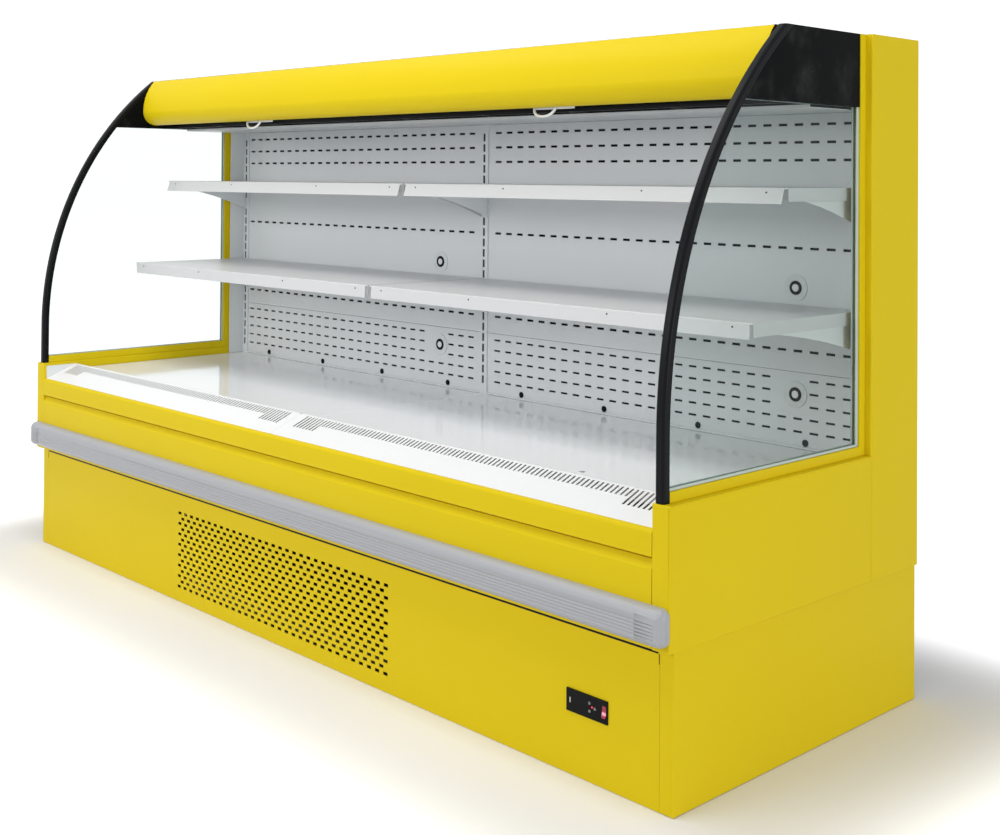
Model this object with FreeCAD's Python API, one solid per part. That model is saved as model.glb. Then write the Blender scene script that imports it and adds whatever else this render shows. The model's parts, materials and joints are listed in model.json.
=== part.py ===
import FreeCAD, Part
import math
import os

# Open-front multideck display fridge, two bays long, with curved glass ends, two night curtains
# and its condensing unit in the base.
# X runs along the front, Y goes from the front to the back, Z is up.
# The origin is on the floor, under the middle of the cabinet. Lengths are millimetres.

V = FreeCAD.Vector

# Whole cabinet
body_length = 2500.0
body_height = 1440.0
overall_depth = 875.0
base_height = 294.0
base_inset = 7.0
floor_gap = 1.0
end_thickness = 42.0
end_box_height = 261.0
column_depth = 190.0
bumper_proud = 24.0
fascia_overhang = 21.0
end_edge_radius = 4.0
end_skin = 2.0

# Shop values
sheet = 1.5
skin = 1.0
seat_gap = 0.3
shaft_gap = 0.05
overrun = 5.0

# Base frame and levelling feet
frame_tube = 40.0
frame_wall = 2.0
frame_bottom = 30.0
foot_radius = 19.0
foot_pad_height = 12.0
foot_stud_radius = 6.0
foot_nut_radius = 11.0
foot_nut_height = 9.0
foot_inset = 60.0
foot_sides = 8
stud_sides = 6

# Base panels
panel_return = 15.0
corner_return = 32.0
grille_columns = 31
grille_rows = 8
grille_pitch = 29.0
grille_row_pitch = 27.7
grille_hole_width = 15.5
grille_hole_height = 7.5
grille_drop = 9.8
rear_slots = 14
rear_slot_pitch = 60.0
rear_slot_length = 160.0
rear_slot_width = 22.0

# Condensing unit
tray_left = 500.0
tray_right = 880.0
tray_lip = 12.0
condenser_half = 420.0
condenser_setback = 62.5
condenser_depth = 44.0
condenser_headroom = 22.5
condenser_fins = 12
fin_share = 0.1
core_share = 0.15
shroud_depth = 70.0
shroud_half = 400.0
condenser_fan_frame = 8.0
fan_tip_gap = 4.0
fan_hole_sides = 20
impeller_hub_radius = 26.0
impeller_depth = 34.0
impeller_chord = 52.0
impeller_blades = 5
impeller_blade = 2.0
impeller_pitch_angle = 32.0
motor_radius = 34.0
motor_length = 52.0
motor_shaft_radius = 4.0
motor_arm = 9.0
motor_arms = 3
motor_sides = 12
compressor_x = 700.0
compressor_y = 150.0
compressor_radius = 82.0
compressor_height = 148.0
compressor_shoulder = 34.0
compressor_sides = 16
compressor_foot = 18.0
compressor_plate = 190.0
compressor_plate_thickness = 3.0
compressor_grommet = 28.0

# Refrigerant pipes
pipe_radius = 6.0
pipe_sides = 8
pipe_corner = 14.0
pipe_gap = 4.0
discharge_drop = 30.0
discharge_reach = 60.0
suction_height = 99.0
liquid_height = 43.5
liquid_x = 520.0
riser_y = 280.0
pipe_rise = 86.0

# Controller on the base front
controller_end_gap = 174.0
controller_z = 142.0
controller_length = 104.0
controller_height = 43.0
controller_proud = 3.0
controller_body_inset = 2.0
controller_body_depth = 42.0
key_radius = 3.0
key_proud = 1.0
key_length = 5.0
key_travel = 0.6
key_sides = 8
key_cluster_share = 0.14
key_column_share = 0.13
key_row_share = 0.17
rocker_share = 0.42
rocker_width = 9.5
rocker_height = 22.0
rocker_nose = 3.5
rocker_dip = 1.3
rocker_back = 4.5
rocker_back_chamfer = 4.0
rocker_depth = 2.5
rocker_pin_radius = 2.0
rocker_pin_length = 1.0
rocker_gap = 0.8
rocker_tilt = 7.0

# Insulated tub, back wall and front
tub_floor = 50.0
tub_wall = 50.0
back_wall_depth = 65.0
front_height = 214.0
nosing_height = 50.0
nosing_radius = 9.0
front_groove = 5.0
fascia_slope_depth = 10.0
fascia_slope_height = 16.0
fascia_bend = 5.0
bumper_lift = 12.0
bumper_height = 76.0
bumper_top_radius = 20.0
bumper_bottom_radius = 14.0
bumper_wall = 3.0
bumper_ribs = 5
bumper_rib_pitch = 7.0
bumper_rib_groove = 2.0
bumper_rib_depth = 1.2
bumper_rib_centre_share = 0.42
bumper_cap_length = 62.0
bumper_cap_chamfer = 9.0

# Glass ends
glass_thickness = 6.0
glass_inset = 24.0
glass_setback = 1.0
glass_lean = 369.0
glass_straight = 115.0
trim_width = 22.0
trim_depth = 18.0
trim_chamfer = 4.5
glass_bite = 6.0
rail_height = 20.0
rail_width = 22.0

# Canopy
canopy_height = 144.0
canopy_setback = 329.0
canopy_lip_radius = 44.0
canopy_lean = 38.3
canopy_hem = 14.0
canopy_end_height = 154.0
canopy_end_outset = 6.0
outlet_setback = 491.0
outlet_drop = 10.0
outlet_depth = 10.0
outlet_bar = 8.0
outlet_cells = 8
ceiling_drop = 16.0
ceiling_upstand = 14.0

# Night curtains
curtain_clearance = 14.5
bar_depth = 16.0
bar_height = 18.0
bar_lift = 4.0
bar_end_gap = 13.0
roll_radius = 27.0
roll_drop = 70.0
roll_end_gap = 22.0
roll_bore_radius = 7.0
roll_bore_depth = 20.0
roll_pin_sides = 12
bracket_width = 44.0
bracket_below = 22.0
bracket_thickness = 3.0
fabric = 1.0
handle_offset = 44.0
handle_plate_left = 42.0
handle_plate_right = 90.0
handle_plate_height = 16.0
handle_plate_drop = 8.0
handle_plate = 3.0
handle_rod_radius = 3.4
handle_rod_sides = 8
handle_width = 80.0
handle_foot = 23.0
handle_drop = 18.0
handle_forward = 12.0
handle_corner = 9.0

# Display space
duct_depth = 68.0
upright_width = 30.0
upright_proud = 4.0
upright_wall = 2.0
upright_slot_width = 5.0
upright_slot_height = 17.0
panel_gap = 0.5
panel_flange = 12.0
panel_lift = 4.0
lower_panel_height = 166.0
socket_offset = 420.0
socket_level_shares = (0.160, 0.479)
socket_radius = 30.0
socket_flange = 2.5
socket_boss_radius = 16.0
socket_boss = 1.5
socket_sides = 12
plug_pitch = 300.0
plug_lift = 14.0
plug_sides = 8
plug_radius = 8.0
plug_proud = 2.5

# Shelves
upper_level_share = 0.781
upper_shelf_depth = 290.0
upper_lip_lean = 11.0
lower_level_share = 0.429
lower_shelf_depth = 405.0
lower_lip_lean = 1.0
shelf_lip = 33.0
shelf_lip_bend = 3.0
shelf_flange = 28.0
shelf_gap = 4.0
shelf_back_gap = 2.0
shelf_bracket = 3.0
shelf_bracket_inset = 6.0
shelf_bracket_back = 92.0
shelf_bracket_nose = 22.0
shelf_bracket_setback = 26.0
shelf_bracket_bow = 9.0
hook_reach = 9.0
hook_height = 15.0
hook_inset = 10.0

# Deck and return-air grille
deck_rise = 24.0
deck_flange = 12.0
deck_gap = 2.0
bearer = 2.0
bearer_offset = 20.0
ledge_start = 9.0
ledge_run = 92.0
ledge_rise = 38.0
ledge_hem = 6.0
ledge_bend = 2.5

# Evaporator
coil_setback = 330.0
coil_depth = 160.0
coil_height = 130.0
coil_lift = 14.0
coil_fins = 8
coil_plate = 2.0
coil_end_gap = 40.0
fan_plate_setback = 235.0
fan_plate_gap = 6.0
fan_plate_headroom = 6.5
evaporator_impeller_radius = 74.0

# Planes that the pieces share
half_length = body_length / 2
inner_half = half_length - end_thickness
y_front = -overall_depth / 2
y_back = overall_depth / 2
y_fascia = y_front + bumper_proud
y_base = y_fascia + fascia_overhang
y_column = y_back - column_depth
y_wall = y_back - back_wall_depth
y_panel = y_wall - duct_depth
y_upright = y_panel - upright_proud
base_half = half_length - base_inset
front_half = base_half - corner_return
bay_centre = inner_half / 2
controller_x = front_half - controller_end_gap
base_top = base_height - seat_gap
tub_top = base_height + tub_floor
end_box_top = base_height + end_box_height
nosing_top = base_height + front_height
bumper_bottom = base_height + bumper_lift
deck_top = nosing_top + deck_rise
panel_foot = deck_top + panel_lift
panel_split = panel_foot + lower_panel_height
roof_bottom = body_height - sheet
canopy_bottom = body_height - canopy_height
canopy_end_bottom = body_height - canopy_end_height
roll_height = body_height - roll_drop
z_ceiling = canopy_bottom - ceiling_drop
display_height = z_ceiling - deck_top
upper_shelf_top = deck_top + upper_level_share * display_height
lower_shelf_top = deck_top + lower_level_share * display_height

pieces = {}


def block(x0, x1, y0, y1, z0, z1):
    """Box between two corners."""
    return Part.makeBox(x1 - x0, y1 - y0, z1 - z0, V(x0, y0, z0))


def hollow(x0, x1, y0, y1, z0, z1, wall):
    """Closed box of sheet with an empty inside."""
    inside = block(x0 + wall, x1 - wall, y0 + wall, y1 - wall, z0 + wall, z1 - wall)
    return block(x0, x1, y0, y1, z0, z1).cut(inside)


def ring(sides, radius):
    """Level wire with a regular outline."""
    turns = [2 * math.pi * (i + 0.5) / sides for i in range(sides)]
    corners = [V(math.cos(turn), math.sin(turn), 0) * radius for turn in turns]
    return Part.makePolygon(corners + corners[:1])


def prism(sides, radius, height):
    """Upright bar with a regular outline."""
    return Part.Face(ring(sides, radius)).extrude(V(0, 0, height))


def wide_prism(sides, radius, height):
    """Upright bar with a regular outline whose flats are that radius from its middle."""
    return prism(sides, radius / math.cos(math.pi / sides), height)


def radius_through(rise, lean):
    """Radius of the arc that starts upright and leans that far back over that rise."""
    return (rise ** 2 + lean ** 2) / (2 * lean)


def mirrored(shape):
    """The same piece at the other end of the cabinet."""
    return shape.mirror(V(0, 0, 0), V(1, 0, 0))


def group(solids):
    return Part.makeCompound(solids)


def line(a, b):
    return Part.LineSegment(a, b).toShape()


def arc_about(centre, radius, a, b):
    """Shorter arc from a to b about a centre."""
    middle = (a + b) * 0.5 - centre
    return Part.Arc(a, centre + middle.normalize() * radius, b).toShape()


def rounded_corner(before, corner, after, radius):
    """Tangent point, middle and tangent point of the arc that rounds a corner."""
    back = (before - corner).normalize()
    ahead = (after - corner).normalize()
    half = back.getAngle(ahead) / 2
    reach = radius / math.tan(half)
    centre = corner + (back + ahead).normalize() * (radius / math.sin(half))
    a = corner + back * reach
    b = corner + ahead * reach
    return a, centre + (corner - centre).normalize() * radius, b


def path_edges(points, radii, closed=False):
    """Straight runs through the points, with each corner rounded to its radius where that isn't zero."""
    count = len(points)
    corners = []
    for i, point in enumerate(points):
        if radii[i] > 0:
            corners.append(rounded_corner(points[i - 1], point, points[(i + 1) % count], radii[i]))
        else:
            corners.append((point, point, point))
    edges = []
    for i, (a, middle, b) in enumerate(corners):
        if radii[i] > 0:
            edges.append(Part.Arc(a, middle, b).toShape())
        if closed or i + 1 < count:
            edges.append(line(b, corners[(i + 1) % count][0]))
    return edges


def face_of(edges):
    return Part.Face(Part.Wire(Part.__sortEdges__(edges)))


def along_x(face, x0, x1):
    """Profile in the YZ plane drawn out from x0 to x1."""
    return face.translated(V(x0, 0, 0)).extrude(V(x1 - x0, 0, 0))


def profile(points, radii, x0, x1):
    """Solid bar with a rounded outline in the YZ plane, given as (y, z) points."""
    outline = [V(0, y, z) for y, z in points]
    return along_x(face_of(path_edges(outline, radii, True)), x0, x1)


def bent_sheet(points, radii, thickness, x0, x1):
    """Sheet bent along (y, z) points. Its thickness lies to the left of the path."""
    path = [V(0, y, z) for y, z in points]
    runs = [(b - a).normalize() for a, b in zip(path, path[1:])]
    normals = [V(0, -run.z, run.y) for run in runs]
    other = [path[0] + normals[0] * thickness]
    other_radii = [0]
    for i in range(1, len(path) - 1):
        first, second = normals[i - 1], normals[i]
        other.append(path[i] + (first + second) * (thickness / (1 + first.dot(second))))
        left_turn = runs[i - 1].y * runs[i].z - runs[i - 1].z * runs[i].y > 0
        grown = radii[i] - thickness if left_turn else radii[i] + thickness
        other_radii.append(max(grown, 0) if radii[i] > 0 else 0)
    other.append(path[-1] + normals[-1] * thickness)
    other_radii.append(0)
    edges = path_edges(path, radii) + path_edges(other, other_radii)
    edges += [line(path[0], other[0]), line(path[-1], other[-1])]
    return along_x(face_of(edges), x0, x1)


def punched_plate(x0, x1, z0, z1, y, thickness, holes):
    """Upright plate whose rectangular holes are (x, z, half width, half height)."""
    def rectangle(xa, xb, za, zb):
        corners = [V(xa, y, za), V(xa, y, zb), V(xb, y, zb), V(xb, y, za), V(xa, y, za)]
        return Part.makePolygon(corners)
    wires = [rectangle(x0, x1, z0, z1)]
    wires += [rectangle(x - w, x + w, z - h, z + h) for x, z, w, h in holes]
    plate = Part.makeFace(wires, "Part::FaceMakerBullseye")
    return plate.extrude(V(0, thickness, 0))


def pipe(points, radius, corner, sides):
    """Many-sided rod along points in space, with each inner corner cut off."""
    route = [points[0]]
    for before, point, after in zip(points, points[1:], points[2:]):
        route.append(point + (before - point).normalize() * corner)
        route.append(point + (after - point).normalize() * corner)
    route.append(points[-1])
    end = ring(sides, radius)
    end.Placement = FreeCAD.Placement(route[0], FreeCAD.Rotation(V(0, 0, 1), route[1] - route[0]))
    return Part.makePolygon(route).makePipeShell([end], True, False, 1)


def facing_front(shape, x, y, z):
    """Turn a piece built up the Z axis so that it points to the front, and set it in place."""
    turned = shape.copy()
    turned.rotate(V(0, 0, 0), V(1, 0, 0), 90)
    return turned.translated(V(x, y, z))


def comb(x0, x1, y0, y1, z0, z1, fins):
    """Finned block: a core with upright fins standing out of its front."""
    pitch = (x1 - x0) / fins
    fin = pitch * fin_share
    y_core = y1 - (y1 - y0) * core_share
    points = [V(x0, y1, z0), V(x0, y_core, z0)]
    for i in range(fins):
        left = x0 + pitch * (i + (1 - fin_share) / 2)
        points += [V(left, y_core, z0), V(left, y0, z0), V(left + fin, y0, z0), V(left + fin, y_core, z0)]
    points += [V(x1, y_core, z0), V(x1, y1, z0), V(x0, y1, z0)]
    return Part.Face(Part.makePolygon(points)).extrude(V(0, 0, z1 - z0))


def impeller(radius):
    """Axial fan wheel with its back face at zero, blowing up the Z axis."""
    hub = prism(2 * impeller_blades, impeller_hub_radius, impeller_depth)
    reach = math.sqrt(radius ** 2 - (impeller_chord / 2) ** 2)
    blade = block(0, reach, -impeller_chord / 2, impeller_chord / 2, -impeller_blade / 2, impeller_blade / 2)
    blade.rotate(V(0, 0, 0), V(1, 0, 0), impeller_pitch_angle)
    blade = blade.translated(V(0, 0, impeller_depth / 2))
    blades = []
    for i in range(impeller_blades):
        turned = blade.copy()
        turned.rotate(V(0, 0, 0), V(0, 0, 1), 360 * i / impeller_blades)
        blades.append(turned)
    wheel = hub.fuse(blades).removeSplitter()
    return wheel.cut(Part.makeCylinder(motor_shaft_radius + shaft_gap, impeller_depth))


def motor(hole_radius):
    """Fan motor behind its wheel, on arms that reach out to the plate round the wheel's hole."""
    post_start = hole_radius + motor_arm
    arm_reach = post_start + motor_arm
    can = prism(motor_sides, motor_radius, motor_length).translated(V(0, 0, -seat_gap - motor_length))
    shaft = prism(motor_sides, motor_shaft_radius, impeller_depth + seat_gap).translated(V(0, 0, -seat_gap))
    arms = []
    for i in range(motor_arms):
        arm = block(0, arm_reach, -motor_arm / 2, motor_arm / 2, -seat_gap - motor_arm, -seat_gap)
        post = block(post_start, arm_reach, -motor_arm / 2, motor_arm / 2, -seat_gap - motor_arm, motor_arm)
        whole = arm.fuse(post)
        whole.rotate(V(0, 0, 0), V(0, 0, 1), 360 * i / motor_arms)
        arms.append(whole)
    return can.fuse([shaft] + arms).removeSplitter()


def build_frame():
    """Welded frame of square tube on levelling feet."""
    y_rail_front = y_base + panel_return
    y_rail_back = y_back - panel_return - frame_tube
    y_rails = (y_rail_front, y_rail_back)
    z_top_rail = base_height - frame_tube
    z_bottom_top = frame_bottom + frame_tube
    end = front_half
    tubes = []

    def tube(x0, x1, y0, y1, z0, z1):
        tubes.append(hollow(x0, x1, y0, y1, z0, z1, frame_wall))

    for y in y_rails:
        for z in (frame_bottom, z_top_rail):
            tube(-end, end, y, y + frame_tube, z, z + frame_tube)
        for x in (-end, -tray_left - seat_gap - frame_tube, tray_right + seat_gap, end - frame_tube):
            tube(x, x + frame_tube, y, y + frame_tube, z_bottom_top, z_top_rail)
    for z in (frame_bottom, z_top_rail):
        for x in (-end, end - frame_tube):
            tube(x, x + frame_tube, y_rail_front + frame_tube, y_rail_back, z, z + frame_tube)
    pieces["base_frame"] = group(tubes)

    foot = prism(foot_sides, foot_radius, foot_pad_height)
    stud = prism(stud_sides, foot_stud_radius, frame_bottom - foot_pad_height)
    nut = prism(stud_sides, foot_nut_radius, foot_nut_height)
    foot = foot.fuse([stud.translated(V(0, 0, foot_pad_height)),
                      nut.translated(V(0, 0, frame_bottom - foot_nut_height))]).removeSplitter()
    feet = []
    for y in y_rails:
        for x in (-end + foot_inset, 0, end - foot_inset):
            feet.append(foot.translated(V(x, y + frame_tube / 2, 0)))
    pieces["levelling_feet"] = group(feet)


def grille_holes():
    """Staggered field of punched holes: full rows, and shorter rows between them."""
    grille_centre = (floor_gap + base_top) / 2 - grille_drop
    holes = []
    for row in range(2 * grille_rows - 1):
        count = grille_columns - row % 2
        z = grille_centre + (row - (grille_rows - 1)) * grille_row_pitch / 2
        for i in range(count):
            x = (i - (count - 1) / 2) * grille_pitch
            holes.append((x, z, grille_hole_width / 2, grille_hole_height / 2))
    return holes


def build_base_panels():
    """Front panel with its punched grille, wrapped end panels and slotted rear panel."""
    body_half = controller_length / 2 - controller_body_inset + seat_gap
    body_half_height = controller_height / 2 - controller_body_inset + seat_gap
    holes = grille_holes() + [(controller_x, controller_z, body_half, body_half_height)]
    front = punched_plate(-front_half, front_half, floor_gap, base_top, y_base, sheet, holes)
    rim = block(-front_half, front_half, y_base + sheet, y_base + panel_return, floor_gap, base_top)
    rim = rim.cut(block(-front_half + sheet, front_half - sheet, y_base, y_base + panel_return,
                        floor_gap + sheet, base_top - sheet))
    pieces["base_front_panel"] = front.fuse(rim)

    end = block(front_half + seat_gap, base_half, y_base, y_back, floor_gap, base_top)
    end = end.cut(block(front_half, base_half - sheet, y_base + sheet, y_back - sheet,
                        floor_gap - overrun, base_top + overrun))
    pieces["base_end_panels"] = group([mirrored(end), end])

    z_middle = (floor_gap + base_top) / 2
    half_slot = rear_slot_width / 2
    slots = [((i - (rear_slots - 1) / 2) * rear_slot_pitch, z_middle, half_slot, rear_slot_length / 2)
             for i in range(rear_slots)]
    rear = punched_plate(-front_half, front_half, floor_gap, base_top, y_back - sheet, sheet, slots)
    rim = block(-front_half, front_half, y_back - panel_return, y_back - sheet, floor_gap, base_top)
    rim = rim.cut(block(-front_half + sheet, front_half - sheet, y_back - panel_return, y_back,
                        floor_gap + sheet, base_top - sheet))
    pieces["base_rear_grille"] = rear.fuse(rim)


def build_condensing_unit():
    """Compressor, condenser and fan on a tray across the bottom rails."""
    z_rail = frame_bottom + frame_tube
    z_floor = z_rail + sheet
    y0 = y_base + panel_return
    y1 = y_back - panel_return
    tray = block(-tray_left, tray_right, y0, y1, z_rail, z_floor)
    for x in (-tray_left, tray_right - sheet):
        tray = tray.fuse(block(x, x + sheet, y0 + frame_tube, y1 - frame_tube, z_floor, z_floor + tray_lip))
    pieces["machine_tray"] = tray.removeSplitter()

    condenser_height = base_height - condenser_headroom - z_floor
    y_coil = y_base + condenser_setback
    y_shroud = y_coil + condenser_depth
    coil = comb(-condenser_half, condenser_half, y_coil, y_shroud, z_floor, z_floor + condenser_height,
                condenser_fins)
    pieces["condenser_coil"] = coil

    z_fan = z_floor + condenser_height / 2
    y_plate = y_shroud + shroud_depth
    box = block(-shroud_half, shroud_half, y_shroud, y_plate, z_floor, z_floor + condenser_height)
    box = box.cut(block(-shroud_half + sheet, shroud_half - sheet, y_shroud, y_plate - sheet,
                        z_floor + sheet, z_floor + condenser_height - sheet))
    hole_radius = condenser_height / 2 - condenser_fan_frame
    hole = wide_prism(fan_hole_sides, hole_radius, sheet + 2 * overrun)
    box = box.cut(facing_front(hole, 0, y_plate + overrun, z_fan))
    y_wheel = y_plate + motor_arm
    carrier = facing_front(motor(hole_radius), 0, y_wheel, z_fan)
    pieces["condenser_shroud"] = box.fuse(carrier).removeSplitter()
    pieces["condenser_impeller"] = facing_front(impeller(hole_radius - fan_tip_gap), 0, y_wheel, z_fan)

    z_plate = z_floor + compressor_foot
    z_pot = z_plate + compressor_plate_thickness
    half = compressor_plate / 2
    plate = block(compressor_x - half, compressor_x + half, compressor_y - half, compressor_y + half,
                  z_plate, z_pot)
    pot = prism(compressor_sides, compressor_radius, compressor_height)
    crown = [edge for edge in pot.Edges if edge.BoundBox.ZMin > compressor_height - seat_gap]
    pot = pot.makeChamfer(compressor_shoulder, crown)
    compressor = plate.fuse(pot.translated(V(compressor_x, compressor_y, z_pot)))
    inset = half - compressor_grommet
    for x in (compressor_x - half, compressor_x + inset):
        for y in (compressor_y - half, compressor_y + inset):
            grommet = block(x, x + compressor_grommet, y, y + compressor_grommet, z_floor, z_plate)
            compressor = compressor.fuse(grommet)
    pieces["compressor"] = compressor.removeSplitter()

    y_header = y_coil + condenser_depth * (1 - core_share / 2)
    side_x = compressor_x - compressor_radius
    turn_x = side_x - discharge_reach
    z_high = z_floor + condenser_height - discharge_drop
    z_low = z_pot + suction_height
    z_liquid = z_floor + liquid_height
    pipe_top = tub_top + pipe_rise
    discharge = [V(side_x, compressor_y, z_low), V(turn_x, compressor_y, z_low),
                 V(turn_x, compressor_y - discharge_reach, z_high),
                 V(turn_x, y_header, z_high), V(condenser_half, y_header, z_high)]
    side_y = compressor_y + compressor_radius
    y_coil_back = y_base + coil_setback + coil_depth
    suction = [V(compressor_x, side_y, z_low), V(compressor_x, riser_y, z_low),
               V(compressor_x, riser_y, pipe_top), V(compressor_x, y_coil_back, pipe_top)]
    liquid = [V(condenser_half, y_header, z_liquid), V(liquid_x, y_header, z_liquid),
              V(liquid_x, riser_y, z_liquid), V(liquid_x, riser_y, pipe_top),
              V(liquid_x, y_coil_back, pipe_top)]
    pieces["refrigerant_pipes"] = group([pipe(route, pipe_radius, pipe_corner, pipe_sides)
                                         for route in (discharge, suction, liquid)])


def build_controller():
    """Controller with three keys and a rocker switch, set in the base front."""
    half = controller_length / 2
    half_height = controller_height / 2
    y_bezel = y_base - controller_proud
    y_key = y_bezel - key_proud
    bezel = block(controller_x - half, controller_x + half, y_bezel, y_base,
                  controller_z - half_height, controller_z + half_height)
    inset = controller_body_inset
    body = block(controller_x - half + inset, controller_x + half - inset,
                 y_base, y_base + controller_body_depth,
                 controller_z - half_height + inset, controller_z + half_height - inset)
    housing = bezel.fuse(body).removeSplitter()
    cluster_x = controller_x + key_cluster_share * controller_length
    column = key_column_share * controller_length / 2
    row = key_row_share * controller_height
    keys = {"key_up": (-column, row), "key_down": (-column, -row), "key_set": (column, 0)}
    for name, (dx, dz) in keys.items():
        key = prism(key_sides, key_radius, key_length)
        pieces[name] = facing_front(key, cluster_x + dx, y_key + key_length, controller_z + dz)
        well_depth = key_length + key_travel + seat_gap
        well = prism(key_sides, key_radius + seat_gap, well_depth)
        housing = housing.cut(facing_front(well, cluster_x + dx, y_key + well_depth, controller_z + dz))

    rocker_x = controller_x + rocker_share * controller_length
    y_axis = y_bezel + rocker_depth
    x0 = rocker_x - rocker_width / 2
    x1 = rocker_x + rocker_width / 2
    top = rocker_height / 2
    back = top - rocker_back_chamfer
    outline = [(-rocker_nose, -top), (rocker_dip - rocker_nose, 0), (-rocker_nose, top),
               (rocker_back / 2, back), (rocker_back, 0), (rocker_back / 2, -back)]
    rocker = profile(outline, [0] * len(outline), x0, x1)
    pin = Part.makeCylinder(rocker_pin_radius, rocker_width + 2 * rocker_pin_length,
                            V(x0 - rocker_pin_length, 0, 0), V(1, 0, 0))
    rocker = rocker.fuse(pin).removeSplitter()
    rocker.rotate(V(0, 0, 0), V(1, 0, 0), -rocker_tilt)
    pieces["power_rocker"] = rocker.translated(V(0, y_axis, controller_z))
    well = block(x0 - seat_gap, x1 + seat_gap, y_bezel - overrun, y_axis + rocker_back + rocker_gap,
                 controller_z - top - rocker_gap, controller_z + top + rocker_gap)
    bore_length = rocker_width + 2 * (rocker_pin_length + seat_gap)
    bore = Part.makeCylinder(rocker_pin_radius + shaft_gap, bore_length,
                             V(rocker_x - bore_length / 2, y_axis, controller_z), V(1, 0, 0))
    pieces["controller_housing"] = housing.cut([well, bore])


def build_insulation():
    """Foamed tub and back wall, as sheet skins with the light foam left empty."""
    wall_top = nosing_top - sheet
    outer = block(-inner_half, inner_half, y_base, y_back, base_height, tub_top)
    outer = outer.fuse(block(-inner_half, inner_half, y_base, y_base + tub_wall, tub_top, wall_top))
    x = inner_half - skin
    inner = block(-x, x, y_base + skin, y_back - skin, base_height + skin, tub_top - skin)
    inner = inner.fuse(block(-x, x, y_base + skin, y_base + tub_wall - skin,
                             base_height + skin, wall_top - skin))
    tub = outer.removeSplitter().cut(inner.removeSplitter())
    reach = pipe_radius + pipe_gap
    for hole_x in (compressor_x, liquid_x):
        tub = tub.cut(block(hole_x - reach, hole_x + reach, riser_y - reach, riser_y + reach,
                            base_height - overrun, tub_top + overrun))
    pieces["insulated_tub"] = tub
    pieces["back_wall"] = hollow(-inner_half, inner_half, y_wall, y_back, tub_top, roof_bottom, skin)


def build_front():
    """Nosing, fascia and bumper that face the front of the tub."""
    nosing_bottom = nosing_top - nosing_height
    path = [(y_base, nosing_bottom), (y_fascia, nosing_bottom), (y_fascia, nosing_top),
            (y_base + tub_wall, nosing_top)]
    pieces["front_nosing"] = bent_sheet(path[::-1], [0, nosing_radius, sheet + seat_gap, 0], sheet,
                                        -inner_half, inner_half)
    fascia_top = nosing_bottom - front_groove
    fascia_bottom = base_height + seat_gap
    path = [(y_base, fascia_bottom), (y_fascia, fascia_bottom), (y_fascia, fascia_top - fascia_slope_height),
            (y_fascia + fascia_slope_depth, fascia_top), (y_base, fascia_top)]
    bends = [0, sheet + seat_gap, fascia_bend, fascia_bend, 0]
    pieces["front_fascia"] = bent_sheet(path[::-1], bends, sheet, -inner_half, inner_half)

    bumper_top = bumper_bottom + bumper_height
    corners = [(y_fascia, bumper_bottom), (y_fascia, bumper_top),
               (y_front, bumper_top), (y_front, bumper_bottom)]
    radii = [0, 0, bumper_top_radius, bumper_bottom_radius]
    x_cap = half_length - bumper_cap_length
    rail = profile(corners, radii, -x_cap, x_cap)
    wall = bumper_wall
    inside = [(y_fascia - sheet, bumper_bottom + wall), (y_fascia - sheet, bumper_top - wall),
              (y_front + wall, bumper_top - wall), (y_front + wall, bumper_bottom + wall)]
    inside_radii = [0, 0, bumper_top_radius - wall, bumper_bottom_radius - wall]
    rail = rail.cut(profile(inside, inside_radii, -x_cap - overrun, x_cap + overrun))
    z_ribs = bumper_bottom + bumper_rib_centre_share * bumper_height
    half = bumper_rib_groove / 2
    for i in range(bumper_ribs):
        z = z_ribs + (i - (bumper_ribs - 1) / 2) * bumper_rib_pitch
        groove = profile([(y_front, z - half), (y_front + bumper_rib_depth, z), (y_front, z + half)],
                         [0, 0, 0], -x_cap, x_cap)
        rail = rail.cut(groove)
    pieces["bumper_rail"] = rail
    cap = profile(corners, radii, x_cap, half_length)
    rim = [edge for edge in cap.Edges
           if edge.BoundBox.XMin > half_length - seat_gap and edge.BoundBox.YMin < y_fascia - seat_gap]
    cap = cap.makeChamfer(bumper_cap_chamfer, rim)
    pieces["bumper_end_caps"] = group([mirrored(cap), cap])


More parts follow.
